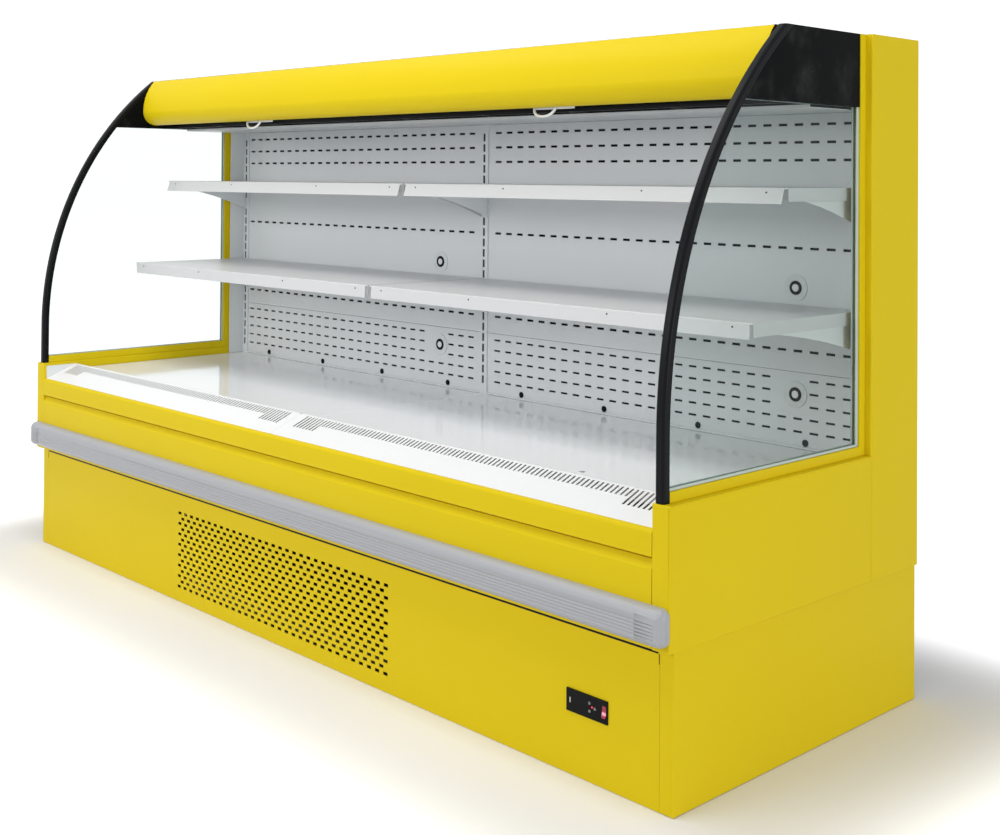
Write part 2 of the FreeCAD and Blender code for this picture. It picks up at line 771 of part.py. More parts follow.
def build_ends():
    """End boxes, rear columns and the glass ends with their rails and curved trims."""
    end = block(inner_half, half_length, y_fascia, y_column, base_height, end_box_top)
    edges = [edge for edge in end.Edges
             if edge.BoundBox.XMin > half_length - seat_gap
             and (edge.BoundBox.YMax < y_fascia + seat_gap or edge.BoundBox.ZMin > end_box_top - seat_gap)
             and edge.BoundBox.YMin < y_column - seat_gap]
    end = end.makeFillet(end_edge_radius, edges)
    end = end.cut(block(inner_half + end_skin, half_length - end_skin,
                        y_fascia + end_skin, y_column - end_skin,
                        base_height + end_skin, end_box_top - end_skin))
    column = hollow(inner_half, half_length, y_column, y_back, base_height, body_height, end_skin)
    upright_edges = [edge for edge in column.Edges
                     if edge.BoundBox.XMin > half_length - seat_gap
                     and edge.BoundBox.ZLength > body_height / 2]
    column = column.makeFillet(end_edge_radius, upright_edges)

    x_glass = half_length - glass_inset
    x_pane = x_glass - glass_thickness
    x_middle = (x_glass + x_pane) / 2
    y_trim = y_fascia + glass_setback
    z_spring = end_box_top + glass_straight
    glass_radius = radius_through(body_height - z_spring, glass_lean)
    centre = V(0, y_trim + glass_radius, z_spring)

    def front_point(inset, z):
        """Point at height z on the curve that lies inset behind the trim's front."""
        radius = glass_radius - inset
        rise = max(z - z_spring, 0)
        return V(0, centre.y - math.sqrt(radius ** 2 - rise ** 2), z)

    def front_edges(inset, z0, z1):
        radius = glass_radius - inset
        low, spring, high = front_point(inset, z0), front_point(inset, z_spring), front_point(inset, z1)
        if z0 < z_spring:
            return [line(low, spring), arc_about(centre, radius, spring, high)], low, high
        return [arc_about(centre, radius, low, high)], low, high

    def curved_plate(inset, z0, z1, y_rear, x0, x1):
        edges, low, high = front_edges(inset, z0, z1)
        rear_low, rear_high = V(0, y_rear, z0), V(0, y_rear, z1)
        edges += [line(low, rear_low), line(rear_low, rear_high), line(rear_high, high)]
        return along_x(face_of(edges), x0, x1)

    outer, outer_low, outer_high = front_edges(0, end_box_top, body_height)
    inner, inner_low, inner_high = front_edges(trim_depth, end_box_top, body_height)
    trim = along_x(face_of(outer + inner + [line(outer_low, inner_low), line(outer_high, inner_high)]),
                   x_middle - trim_width / 2, x_middle + trim_width / 2)
    front_face = [face for face in trim.Faces if face.BoundBox.XLength > trim_width - seat_gap
                  and front_point(trim_depth / 2, face.CenterOfMass.z).y > face.CenterOfMass.y]
    rims = [edge for face in front_face for edge in face.Edges
            if edge.BoundBox.XLength < seat_gap and edge.BoundBox.ZLength > seat_gap]
    trim = trim.makeChamfer(trim_chamfer, rims)
    z_sill = end_box_top + rail_height - glass_bite
    y_sill = y_column - rail_height + glass_bite
    pane_inset = trim_depth - glass_bite
    z_head = canopy_end_bottom - seat_gap
    pane = curved_plate(pane_inset, z_sill, z_head, y_sill, x_pane, x_glass)
    slot = curved_plate(pane_inset - seat_gap, z_sill - seat_gap, z_head, y_sill + seat_gap,
                        x_pane - seat_gap, x_glass + seat_gap)
    canopy_end = curved_plate(trim_depth + seat_gap, canopy_end_bottom, body_height, y_column - rail_height,
                              inner_half, x_glass + canopy_end_outset)
    y_rail = inner_low.y + seat_gap
    z_rail_top = end_box_top + rail_height
    path = [(y_rail, end_box_top), (y_column, end_box_top), (y_column, body_height),
            (y_column - rail_height, body_height), (y_column - rail_height, z_rail_top), (y_rail, z_rail_top)]
    rail = profile(path, [0] * len(path), x_middle - rail_width / 2, x_middle + rail_width / 2).cut(slot)
    trim = trim.cut(slot)

    for name, shape in {"end_box": end, "end_glass": pane, "glass_trim": trim}.items():
        pieces[name + "_right"] = shape
        pieces[name + "_left"] = mirrored(shape)
    for name, shape in {"end_columns": column, "glass_rails": rail, "canopy_ends": canopy_end}.items():
        pieces[name] = group([mirrored(shape), shape])


def build_canopy():
    """Bulged canopy front, roof, air outlet and inner ceiling."""
    y_bulge = y_fascia + canopy_setback
    z_bulge = canopy_bottom + canopy_lip_radius
    canopy_face_radius = radius_through(roof_bottom - z_bulge, canopy_lean)
    face_centre = V(0, y_bulge + canopy_face_radius, z_bulge)
    lip_centre = V(0, y_bulge + canopy_lip_radius, z_bulge)

    def skin_edges(inset):
        """Top point, bulge and lowest point of the skin, joined by its two arcs."""
        face_radius = canopy_face_radius - inset
        lip_radius = canopy_lip_radius - inset
        rise = roof_bottom - z_bulge
        top = V(0, face_centre.y - math.sqrt(face_radius ** 2 - rise ** 2), roof_bottom)
        bulge = V(0, y_bulge + inset, z_bulge)
        low = V(0, lip_centre.y, z_bulge - lip_radius)
        edges = [arc_about(face_centre, face_radius, top, bulge),
                 arc_about(lip_centre, lip_radius, bulge, low)]
        return edges, top, low

    outer, outer_top, outer_low = skin_edges(0)
    inner, inner_top, inner_low = skin_edges(sheet)
    y_lip = lip_centre.y + sheet
    z_hem = canopy_bottom + canopy_hem
    hem = [outer_low, V(0, y_lip, canopy_bottom), V(0, y_lip, z_hem), V(0, inner_low.y, z_hem), inner_low]
    edges = outer + inner + [line(outer_top, inner_top)] + [line(a, b) for a, b in zip(hem, hem[1:])]
    pieces["canopy_front"] = along_x(face_of(edges), -inner_half, inner_half)
    pieces["canopy_roof"] = block(-inner_half, inner_half, outer_top.y, y_back, roof_bottom, body_height)

    y_bar = y_lip + curtain_clearance
    y_outlet = y_bar + bar_depth + curtain_clearance / 2
    y_ceiling = y_fascia + outlet_setback
    z_outlet = canopy_bottom - outlet_drop
    outlet = block(-inner_half, inner_half, y_outlet, y_ceiling, z_outlet, z_outlet + outlet_depth)
    cell = (2 * inner_half - outlet_bar) / outlet_cells
    for i in range(outlet_cells):
        x0 = -inner_half + outlet_bar + i * cell
        outlet = outlet.cut(block(x0, x0 + cell - outlet_bar, y_outlet + outlet_bar, y_ceiling - outlet_bar,
                                  z_outlet - overrun, z_outlet + outlet_depth + overrun))
    pieces["air_outlet"] = outlet

    path = [(y_ceiling, z_ceiling + ceiling_upstand), (y_ceiling, z_ceiling), (y_panel, z_ceiling)]
    pieces["ceiling_panel"] = bent_sheet(path, [0, 0, 0], sheet, -inner_half, inner_half)

    build_curtains(y_bar)


def build_curtains(y_bar):
    """One spring roller with its fabric, pull bar and loop for each bay, on brackets under the roof."""
    z_bar = canopy_bottom + bar_lift
    z_bar_top = z_bar + bar_height
    y_fabric = y_bar + bar_depth / 2
    y_axis = y_fabric + fabric / 2 + seat_gap + roll_radius
    bar = block(bar_end_gap, inner_half - bar_end_gap, y_bar, y_bar + bar_depth, z_bar, z_bar_top)
    z_plate = z_bar - handle_plate_drop
    handle = block(-handle_plate_left, handle_plate_right, y_bar - handle_plate, y_bar,
                   z_plate, z_plate + handle_plate_height)
    z_loop = z_plate + handle_rod_radius
    y_loop = y_bar - handle_plate / 2
    z_low = z_loop - handle_drop
    y_low = y_loop - handle_forward
    half_loop = handle_width / 2
    half_foot = half_loop - handle_foot
    route = [V(-half_loop, y_loop, z_loop), V(-half_foot, y_low, z_low),
             V(half_foot, y_low, z_low), V(half_loop, y_loop, z_loop)]
    handle = handle.fuse(pipe(route, handle_rod_radius, handle_corner, handle_rod_sides))
    for name, rail, x in (("left", mirrored(bar), -bay_centre), ("right", bar, bay_centre)):
        whole = rail.fuse(handle.translated(V(x - handle_offset, 0, 0)))
        pieces["curtain_bar_" + name] = whole.removeSplitter()

    x0 = roll_end_gap
    x1 = inner_half - roll_end_gap
    roller = Part.makeCylinder(roll_radius, x1 - x0, V(x0, y_axis, roll_height), V(1, 0, 0))
    for x in (x0, x1 - roll_bore_depth):
        place = V(x, y_axis, roll_height)
        bore = wide_prism(roll_pin_sides, roll_bore_radius, roll_bore_depth)
        bore.rotate(V(0, 0, 0), V(0, 1, 0), 90)
        roller = roller.cut(bore.translated(place))
    cloth = block(x0, x1, y_fabric - fabric / 2, y_fabric + fabric / 2, z_bar_top + seat_gap, roll_height)

    brackets = []
    for x, out in ((x0 - seat_gap, -1), (x1 + seat_gap, 1)):
        xa, xb = sorted((x, x + out * bracket_thickness))
        plate = block(xa, xb, y_axis - bracket_width / 2, y_axis + bracket_width / 2,
                      roll_height - bracket_below, roof_bottom)
        pin = prism(roll_pin_sides, roll_bore_radius - shaft_gap, roll_bore_depth - seat_gap)
        pin.rotate(V(0, 0, 0), V(0, 1, 0), -out * 90)
        brackets.append(plate.fuse(pin.translated(V(x, y_axis, roll_height))))
    pieces["curtain_brackets"] = group([mirrored(shape) for shape in brackets] + brackets)
    for name, shape in {"curtain_roller": roller, "curtain_fabric": cloth}.items():
        pieces[name + "_right"] = shape
        pieces[name + "_left"] = mirrored(shape)


def upright_places():
    """Left edges of the three uprights: one at each end and one behind the joint of the bays."""
    return (-inner_half, -upright_width / 2, inner_half - upright_width)


def bracket_places():
    """Left faces of the two brackets under the shelf of the right bay."""
    left = shelf_gap + shelf_bracket_inset
    return (left, inner_half - shelf_gap - shelf_bracket_inset - shelf_bracket)


def build_back():
    """Uprights, hung back panels, linings of the columns, lamp sockets and plugs."""
    uprights = []
    slots = []
    for top in (upper_shelf_top, lower_shelf_top):
        for x in bracket_places():
            for middle in (x + shelf_bracket / 2, -x - shelf_bracket / 2):
                slots.append((middle, hook_bottom(top) + hook_height / 2))
    half_width = upright_slot_width / 2
    half_height = upright_slot_height / 2
    cutters = [block(x - half_width, x + half_width, y_upright - overrun, y_upright + overrun,
                     z - half_height, z + half_height) for x, z in slots]
    for x in upright_places():
        post = block(x, x + upright_width, y_upright, y_wall, tub_top, z_ceiling)
        post = post.cut(block(x + upright_wall, x + upright_width - upright_wall, y_upright + upright_wall,
                              y_wall + overrun, tub_top - overrun, z_ceiling + overrun))
        uprights.append(post.cut(cutters))
    pieces["shelf_uprights"] = group(uprights)

    x0 = upright_width / 2 + panel_gap
    x1 = inner_half - upright_width - panel_gap
    for name, z0, z1 in (("back_panels_lower", panel_foot, panel_split - panel_gap),
                         ("back_panels_upper", panel_split + panel_gap, z_ceiling - panel_gap)):
        panel = block(x0, x1, y_panel, y_panel + panel_flange, z0, z1)
        panel = panel.cut(block(x0 + sheet, x1 - sheet, y_panel + sheet, y_panel + panel_flange + overrun,
                                z0 + sheet, z1 - sheet))
        pieces[name] = group([mirrored(panel), panel])

    lining = block(inner_half - skin, inner_half, y_column, y_upright - seat_gap,
                   deck_top + seat_gap, z_ceiling - seat_gap)
    pieces["side_linings"] = group([mirrored(lining), lining])

    socket = prism(socket_sides, socket_radius, socket_flange)
    boss = prism(socket_sides, socket_boss_radius, socket_boss).translated(V(0, 0, socket_flange))
    socket = socket.fuse(boss)
    sockets = [facing_front(socket, x + socket_offset, y_panel, deck_top + share * display_height)
               for x in (-bay_centre, bay_centre) for share in socket_level_shares]
    pieces["light_sockets"] = group(sockets)
    plug = facing_front(prism(plug_sides, plug_radius, plug_proud), 0, y_panel, deck_top + plug_lift)
    plugs = []
    plug_x = plug_pitch / 2
    while plug_x < x1 - plug_radius:
        plugs += [plug.translated(V(-plug_x, 0, 0)), plug.translated(V(plug_x, 0, 0))]
        plug_x += plug_pitch
    pieces["panel_plugs"] = group(plugs)


def hook_bottom(top):
    """Lower end of the hook on the back of a bracket."""
    return top - sheet - shelf_bracket_back + hook_inset


def build_shelf(level, top, depth, lean):
    """Two folded shelves, one in each bay, with their brackets hooked into the uprights."""
    y_rear = y_upright - shelf_back_gap
    y_lip = y_rear - depth
    x0 = shelf_gap
    x1 = inner_half - shelf_gap
    bottom = top - shelf_flange
    path = [(y_rear, bottom), (y_rear, top), (y_lip, top), (y_lip - lean, top - shelf_lip)]
    shelf = bent_sheet(path, [0, 0, shelf_lip_bend, 0], sheet, x0, x1)
    y_cheek = y_lip + shelf_lip_bend
    for x in (x0, x1 - sheet):
        shelf = shelf.fuse(block(x, x + sheet, y_cheek, y_rear - sheet, bottom, top - sheet))
    shelf = shelf.removeSplitter()
    pieces["shelf_" + level + "_right"] = shelf
    pieces["shelf_" + level + "_left"] = mirrored(shelf)

    under = top - sheet
    y_back_edge = y_rear - sheet - seat_gap
    y_nose = y_lip + shelf_bracket_setback
    z_back = under - shelf_bracket_back
    z_nose = under - shelf_bracket_nose
    nose_low = V(0, y_nose + shelf_bracket_nose / 2, z_nose)
    back_low = V(0, y_upright, z_back)
    middle = (nose_low + back_low) * 0.5 + V(0, 0, shelf_bracket_bow)
    nose_front = V(0, y_nose, under - shelf_bracket_nose / 2)
    nose_top = V(0, y_nose, under)
    notch = [nose_top, V(0, y_back_edge, under), V(0, y_back_edge, bottom - seat_gap),
             V(0, y_upright, bottom - seat_gap), back_low]
    edges = [line(a, b) for a, b in zip(notch, notch[1:])]
    edges += [Part.Arc(back_low, middle, nose_low).toShape(),
              line(nose_low, nose_front), line(nose_front, nose_top)]
    outline = face_of(edges)
    brackets = []
    for x in bracket_places():
        plate = along_x(outline, x, x + shelf_bracket)
        z = hook_bottom(top)
        hook = block(x, x + shelf_bracket, y_upright, y_upright + hook_reach, z, z + hook_height)
        plate = plate.fuse(hook).removeSplitter()
        brackets += [mirrored(plate), plate]
    return brackets


def build_shelves():
    brackets = build_shelf("upper", upper_shelf_top, upper_shelf_depth, upper_lip_lean)
    brackets += build_shelf("lower", lower_shelf_top, lower_shelf_depth, lower_lip_lean)
    pieces["shelf_brackets"] = group(brackets)


def build_deck():
    """Deck pans on bearers, and the sloped return-air grilles between them and the nosing."""
    z_under = deck_top - sheet
    y_ledge = y_fascia + ledge_start
    y_crest = y_ledge + ledge_run
    y_hem = y_crest + ledge_hem
    y_deck = y_hem + deck_gap
    y_rear = y_upright - seat_gap
    x0 = deck_gap
    x1 = inner_half - deck_gap
    z_crest = nosing_top + ledge_rise
    path = [(y_hem, z_under), (y_hem, z_crest), (y_crest, z_crest), (y_ledge, nosing_top)]
    grille = bent_sheet(path, [0, ledge_bend, ledge_bend, 0], sheet, x0, x1)
    grille = grille.cut(block(-inner_half, inner_half, y_fascia, y_crest, nosing_top - overrun, nosing_top))
    pieces["return_grilles"] = group([mirrored(grille), grille])

    pan = block(x0, x1, y_deck, y_rear, z_under, deck_top)
    flange_x0 = bearer_offset + bearer + deck_gap
    flange_x1 = inner_half - bearer_offset - bearer - deck_gap
    for y in (y_deck, y_rear - sheet):
        pan = pan.fuse(block(flange_x0, flange_x1, y, y + sheet, z_under - deck_flange, z_under))
    pan = pan.removeSplitter()
    pieces["deck_pans"] = group([mirrored(pan), pan])

    bearers = []
    for x in (bearer_offset, inner_half - bearer_offset - bearer):
        plate = block(x, x + bearer, y_base + tub_wall, y_rear, tub_top, z_under)
        step = block(x - overrun, x + bearer + overrun, y_base, y_hem - sheet - deck_gap,
                     nosing_top - deck_flange, z_under)
        plate = plate.cut(step)
        bearers += [mirrored(plate), plate]
    pieces["deck_bearers"] = group(bearers)

    y_coil = y_base + coil_setback
    x0 = bearer_offset + coil_end_gap
    x1 = inner_half - bearer_offset - coil_end_gap
    y_coil_back = y_coil + coil_depth
    z_coil = tub_top + coil_lift
    z_coil_top = z_coil + coil_height
    coil = comb(x0, x1, y_coil, y_coil_back, z_coil, z_coil_top, coil_fins)
    for x in (x0 - coil_plate, x1):
        coil = coil.fuse(block(x, x + coil_plate, y_coil, y_coil_back, tub_top, z_coil_top))
    coil = coil.removeSplitter()
    pieces["evaporator_coils"] = group([mirrored(coil), coil])

    y_plate = y_base + fan_plate_setback
    xa = bearer_offset + bearer + fan_plate_gap
    xb = inner_half - bearer_offset - bearer - fan_plate_gap
    x_fan = (xa + xb) / 2
    fan_plate_height = z_under - fan_plate_headroom - tub_top
    z_fan = tub_top + fan_plate_height / 2
    hole_radius = evaporator_impeller_radius + fan_tip_gap
    y_wheel = y_plate + sheet + motor_arm
    plates = []
    for name, x in (("left", -x_fan), ("right", x_fan)):
        half = (xb - xa) / 2
        plate = block(x - half, x + half, y_plate, y_plate + sheet, tub_top, tub_top + fan_plate_height)
        hole = wide_prism(fan_hole_sides, hole_radius, sheet + 2 * overrun)
        plate = plate.cut(facing_front(hole, x, y_plate + sheet + overrun, z_fan))
        carrier = facing_front(motor(hole_radius), x, y_wheel, z_fan)
        plates.append(plate.fuse(carrier).removeSplitter())
        wheel = facing_front(impeller(evaporator_impeller_radius), x, y_wheel, z_fan)
        pieces["evaporator_impeller_" + name] = wheel
    pieces["evaporator_fan_plates"] = group(plates)


build_frame()
build_base_panels()
build_condensing_unit()
build_controller()
build_insulation()
build_front()
build_ends()
build_canopy()
build_back()
build_shelves()
build_deck()

os.makedirs("parts", exist_ok=True)
for name, shape in pieces.items():
    shape.exportStep("parts/" + name + ".step")
print(len(pieces), "nodes")
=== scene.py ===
import json
import math

import bpy
from mathutils import Matrix, Vector


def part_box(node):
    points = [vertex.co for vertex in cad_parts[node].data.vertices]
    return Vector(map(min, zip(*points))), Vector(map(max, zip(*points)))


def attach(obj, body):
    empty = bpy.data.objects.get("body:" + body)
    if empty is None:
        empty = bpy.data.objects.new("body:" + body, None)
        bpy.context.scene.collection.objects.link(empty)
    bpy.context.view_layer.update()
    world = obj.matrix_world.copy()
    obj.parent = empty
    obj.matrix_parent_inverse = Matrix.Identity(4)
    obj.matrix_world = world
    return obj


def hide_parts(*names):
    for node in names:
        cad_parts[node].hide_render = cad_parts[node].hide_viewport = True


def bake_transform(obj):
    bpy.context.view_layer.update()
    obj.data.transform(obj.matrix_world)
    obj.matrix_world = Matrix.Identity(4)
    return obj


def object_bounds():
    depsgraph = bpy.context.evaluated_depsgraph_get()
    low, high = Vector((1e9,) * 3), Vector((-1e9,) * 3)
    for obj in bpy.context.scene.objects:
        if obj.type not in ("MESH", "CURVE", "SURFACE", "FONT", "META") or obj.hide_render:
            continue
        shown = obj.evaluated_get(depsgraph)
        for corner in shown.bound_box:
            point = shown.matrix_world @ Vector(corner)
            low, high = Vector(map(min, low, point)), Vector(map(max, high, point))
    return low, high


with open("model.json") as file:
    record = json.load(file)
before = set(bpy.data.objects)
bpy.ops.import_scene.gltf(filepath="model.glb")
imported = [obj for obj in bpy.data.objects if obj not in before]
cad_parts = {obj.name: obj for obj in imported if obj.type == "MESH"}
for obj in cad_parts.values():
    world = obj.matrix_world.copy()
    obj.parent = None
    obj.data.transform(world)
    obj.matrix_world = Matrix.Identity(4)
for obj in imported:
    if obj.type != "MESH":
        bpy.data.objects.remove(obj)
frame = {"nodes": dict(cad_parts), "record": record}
cad_low, cad_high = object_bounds()
nodes, record = frame["nodes"], frame["record"]
body_of_node = {node: body for body, members in record["behaviour"]["bodies"].items() for node in members}
slot_of_node = {part["node"]: part["material_slot"] for part in record["subparts"]}
sides = {"left": -1, "right": 1}


# Finishes

class Value:
    """One socket of a finish. Sums and products of values add the maths nodes."""

    def __init__(self, finish, socket):
        self.finish = finish
        self.socket = socket

    def maths(self, operation, first, second):
        return self.finish.node("ShaderNodeMath", {"operation": operation}, {0: first, 1: second})

    def __add__(self, other):
        return self.maths("ADD", self, other)

    def __radd__(self, other):
        return self.maths("ADD", other, self)

    def __sub__(self, other):
        return self.maths("SUBTRACT", self, other)

    def __rsub__(self, other):
        return self.maths("SUBTRACT", other, self)

    def __mul__(self, other):
        return self.maths("MULTIPLY", self, other)

    def __rmul__(self, other):
        return self.maths("MULTIPLY", other, self)

    def __gt__(self, other):
        return self.maths("GREATER_THAN", self, other)

    def __abs__(self):
        return self.maths("ABSOLUTE", self, 0)

    def larger(self, other):
        return self.maths("MAXIMUM", self, other)

    def smaller(self, other):
        return self.maths("MINIMUM", self, other)


class Nodes:
    """A node tree and the steps that fill it."""

    def __init__(self, tree):
        self.tree = tree

    def node(self, kind, settings, inputs, output=0):
        """Any node: its settings first, then the values or links of its sockets."""
        made = self.tree.nodes.new(kind)
        for name, value in settings.items():
            setattr(made, name, value)
        for name, value in inputs.items():
            self.feed(made.inputs[name], value)
        return Value(self, made.outputs[output])

    def feed(self, socket, value):
        if isinstance(value, Value):
            self.tree.links.new(value.socket, socket)
        else:
            socket.default_value = value

    def eased(self, value, start, end):
        """0 at the start and 1 at the end, with a smooth ramp between."""
        return self.node("ShaderNodeMapRange", {"interpolation_type": "SMOOTHSTEP"},
                         {"Value": value, "From Min": start, "From Max": end})

    def seen_directly(self):
        """1 for rays of the camera, of mirrors and through glass, and 0 for light that bounces."""
        rays = [self.node("ShaderNodeLightPath", {}, {}, name)
                for name in ("Is Camera Ray", "Is Glossy Ray", "Is Transmission Ray")]
        return rays[0].larger(rays[1]).larger(rays[2])


class Finish(Nodes):
    """A material built round one Principled shader."""

    def __init__(self, name, **constants):
        self.material = bpy.data.materials.new(name)
        self.material.use_nodes = True
        Nodes.__init__(self, self.material.node_tree)
        self.shader = self.tree.nodes["Principled BSDF"]
        self.output = self.tree.nodes["Material Output"]
        for socket, value in constants.items():
            self.shader.inputs[socket.replace("_", " ")].default_value = value

    def set(self, name, value):
        self.feed(self.shader.inputs[name], value)
        return self

    def place(self):
        """Object coordinates, which are metres in the shared frame."""
        return self.node("ShaderNodeTexCoord", {}, {}, "Object")

    def axis(self, name):
        """One coordinate of the place."""
        return self.node("ShaderNodeSeparateXYZ", {}, {0: self.place()}, name)

    def stretched(self, scale):
        """The place with each axis scaled on its own, for patterns that run one way."""
        return self.node("ShaderNodeMapping", {}, {"Vector": self.place(), "Scale": scale})

    def noise(self, scale, detail=2.0, roughness=0.5, place=None):
        inputs = {"Vector": place or self.place(), "Scale": scale, "Detail": detail, "Roughness": roughness}
        return self.node("ShaderNodeTexNoise", {}, inputs, "Fac")

    def colours(self, factor, first, second):
        """Mix of two colours by a factor."""
        inputs = {0: factor, 6: first if isinstance(first, Value) else (*first, 1),
                  7: second if isinstance(second, Value) else (*second, 1)}
        return self.node("ShaderNodeMix", {"data_type": "RGBA"}, inputs, 2)

    def bump(self, height, strength, distance):
        inputs = {"Height": height, "Strength": strength, "Distance": distance}
        self.set("Normal", self.node("ShaderNodeBump", {}, inputs))
        return self

    def mixed(self, factor, first, second):
        """Two shaders mixed by a factor."""
        return self.node("ShaderNodeMixShader", {}, {0: factor, 1: first, 2: second})


def sheet_paint(name, colour, shade, roughness, gloss):
    """Baked paint on sheet steel: a faint mottle, an even orange peel and slightly uneven gloss."""
    paint = Finish(name, IOR=1.5, Specular_IOR_Level=gloss)
    mottle = paint.noise(3.0, 3.0)
    peel = paint.noise(420.0, 1.0)
    paint.set("Base Color", paint.colours(mottle, colour, shade))
    paint.set("Roughness", roughness + 0.08 * paint.noise(9.0, 4.0))
    return paint.bump(peel, 0.04, 0.0006).material


def satin_plastic(name, colour, roughness, gloss=0.5):
    """Moulded plastic with a fine grain and soft scuffs."""
    plastic = Finish(name, IOR=1.48, Specular_IOR_Level=gloss)
    scuffs = plastic.noise(14.0, 5.0, 0.7)
    lighter = tuple(min(1.0, channel * 1.35 + 0.003) for channel in colour)
    plastic.set("Base Color", plastic.colours(scuffs * 0.5, colour, lighter))
    plastic.set("Roughness", roughness + 0.14 * (scuffs - 0.5))
    return plastic.bump(plastic.noise(900.0, 1.0), 0.08, 0.0004).material


def galvanised_steel():
    """Zinc-coated sheet with its frost of large flat crystals."""
    steel = Finish("galvanised_steel", Metallic=1.0)
    crystals = steel.node("ShaderNodeTexVoronoi", {}, {"Vector": steel.place(), "Scale": 90.0}, "Color")
    grey = steel.node("ShaderNodeRGBToBW", {}, {0: crystals})
    steel.set("Base Color", steel.colours(grey, (0.42, 0.44, 0.45), (0.58, 0.60, 0.61)))
    steel.set("Roughness", 0.34 + 0.16 * grey)
    return steel.bump(steel.noise(260.0), 0.05, 0.0005).material


def fin_lines(fins):
    """Fine upright lines of a coil's fins."""
    return fins.noise(1.0, 2.0, place=fins.stretched((1200.0, 60.0, 4.0)))


def brushed_fins():
    """Mill-finish aluminium with fine upright lines."""
    fins = Finish("coil_fins", Metallic=1.0)
    lines = fin_lines(fins)
    fins.set("Base Color", fins.colours(lines, (0.55, 0.56, 0.57), (0.75, 0.76, 0.77)))
    fins.set("Roughness", 0.25 + 0.2 * lines)
    return fins.material


def shade_black_fins():
    """Condenser fins in near-black, partly their coating and partly painted shade for the holes of the base
    in front of them, with fine upright lines.
    """
    fins = Finish("shade_black_fins", IOR=1.5, Specular_IOR_Level=0.2)
    lines = fin_lines(fins)
    fins.set("Base Color", fins.colours(lines, (0.010, 0.010, 0.010), (0.040, 0.039, 0.036)))
    fins.set("Roughness", 0.4 + 0.2 * lines)
    return fins.material


def drawn_copper():
    """Copper tube with patches of tarnish."""
    copper = Finish("drawn_copper", Metallic=1.0)
    tarnish = copper.noise(22.0, 4.0, 0.65)
    copper.set("Base Color", copper.colours(tarnish, (0.78, 0.36, 0.20), (0.42, 0.20, 0.12)))
    copper.set("Roughness", 0.2 + 0.25 * tarnish)
    return copper.material


def pot_enamel():
    """Stoved black enamel on the compressor."""
    enamel = Finish("pot_enamel", IOR=1.5)
    dust = enamel.noise(11.0, 5.0, 0.7)
    enamel.set("Base Color", enamel.colours(dust, (0.010, 0.010, 0.011), (0.05, 0.05, 0.048)))
    enamel.set("Roughness", 0.25 + 0.3 * dust)
    return enamel.bump(enamel.noise(180.0), 0.12, 0.0008).material


def gloss_black():
    """Polished black end panel with patches of wiped dust."""
    black = Finish("gloss_black", IOR=1.5, Specular_IOR_Level=0.02)
    wiped = black.noise(1.0, 5.0, 0.7, black.stretched((60.0, 34.0, 8.0)))
    patches = black.eased(black.noise(7.5, 3.0, 0.6), 0.50, 0.70)
    specks = black.noise(330.0, 0.0) > 0.82
    dust = patches * (wiped * 0.55 + specks)
    black.set("Base Color", black.colours(dust, (0.0045, 0.005, 0.0055), (0.055, 0.056, 0.054)))
    black.set("Roughness", 0.10 + 0.16 * wiped)
    return black.material


def silver_bumper():
    """Grey extruded plastic with faint drawn lines along its length."""
    grey = Finish("silver_bumper", IOR=1.47)
    drawn = grey.noise(1.0, 3.0, place=grey.stretched((1.5, 420.0, 420.0)))
    grey.set("Base Color", grey.colours(drawn, (0.32, 0.33, 0.36), (0.42, 0.43, 0.46)))
    grey.set("Roughness", 0.34 + 0.12 * drawn)
    return grey.bump(drawn, 0.08, 0.0004).material


def end_glass():
    """Clear toughened glass: see-through on its faces, green on its cut edges.

    The sheen on its faces is held low, so that a pane stays clear when it is seen aslant.
    """
    glass = Finish("end_glass", IOR=1.5)
    normal = glass.node("ShaderNodeNewGeometry", {}, {}, "Normal")
    face = abs(glass.node("ShaderNodeSeparateXYZ", {}, {0: normal}, "X")) > 0.7
    smears = glass.noise(5.0, 5.0, 0.65)
    glass.set("Base Color", glass.colours(smears, (0.16, 0.36, 0.29), (0.20, 0.40, 0.33)))
    glass.set("Roughness", 0.05 + 0.05 * smears)
    gloss = glass.node("ShaderNodeBsdfGlossy", {}, {"Color": (0.10, 0.11, 0.11, 1), "Roughness": 0.02})
    clear = glass.node("ShaderNodeBsdfTransparent", {}, {"Color": (0.958, 0.984, 0.974, 1)})
    sheen = glass.node("ShaderNodeFresnel", {}, {"IOR": 1.5})
    outside = 1 - glass.node("ShaderNodeNewGeometry", {}, {}, "Backfacing")
    aslant = (6.0 * sheen - 0.24).larger(0.01).smaller(0.22)
    pane = glass.mixed(outside * (0.004 * smears + aslant), clear, gloss)
    whole = glass.mixed(face, Value(glass, glass.shader.outputs[0]), pane)
    glass.tree.links.new(whole.socket, glass.output.inputs["Surface"])
    return glass.material


def woven_fabric():
    """Plain weave of the night curtain."""
    cloth = Finish("curtain_weave", Roughness=0.85, Sheen_Weight=0.15)
    threads = 5200.0
    across, along = [cloth.node("ShaderNodeMath", {"operation": "SINE"}, {0: cloth.axis(name) * threads})
                     for name in ("X", "Z")]
    weave = across * along * 0.5 + 0.5
    cloth.set("Base Color", cloth.colours(weave, (0.50, 0.52, 0.53), (0.72, 0.73, 0.73)))
    return cloth.bump(weave, 0.3, 0.0003).material


def glowing(name, colour, strength):
    """Lit lamp behind a tinted lens with a fine grain."""
    lamp = Finish(name, Roughness=0.25, Emission_Strength=strength)
    grain = lamp.noise(900.0, 1.0)
    dim = tuple(channel * 0.6 for channel in colour)
    lamp.set("Base Color", lamp.colours(grain, colour, dim))
    lamp.set("Emission Color", lamp.colours(grain, colour, dim))
    return lamp.material


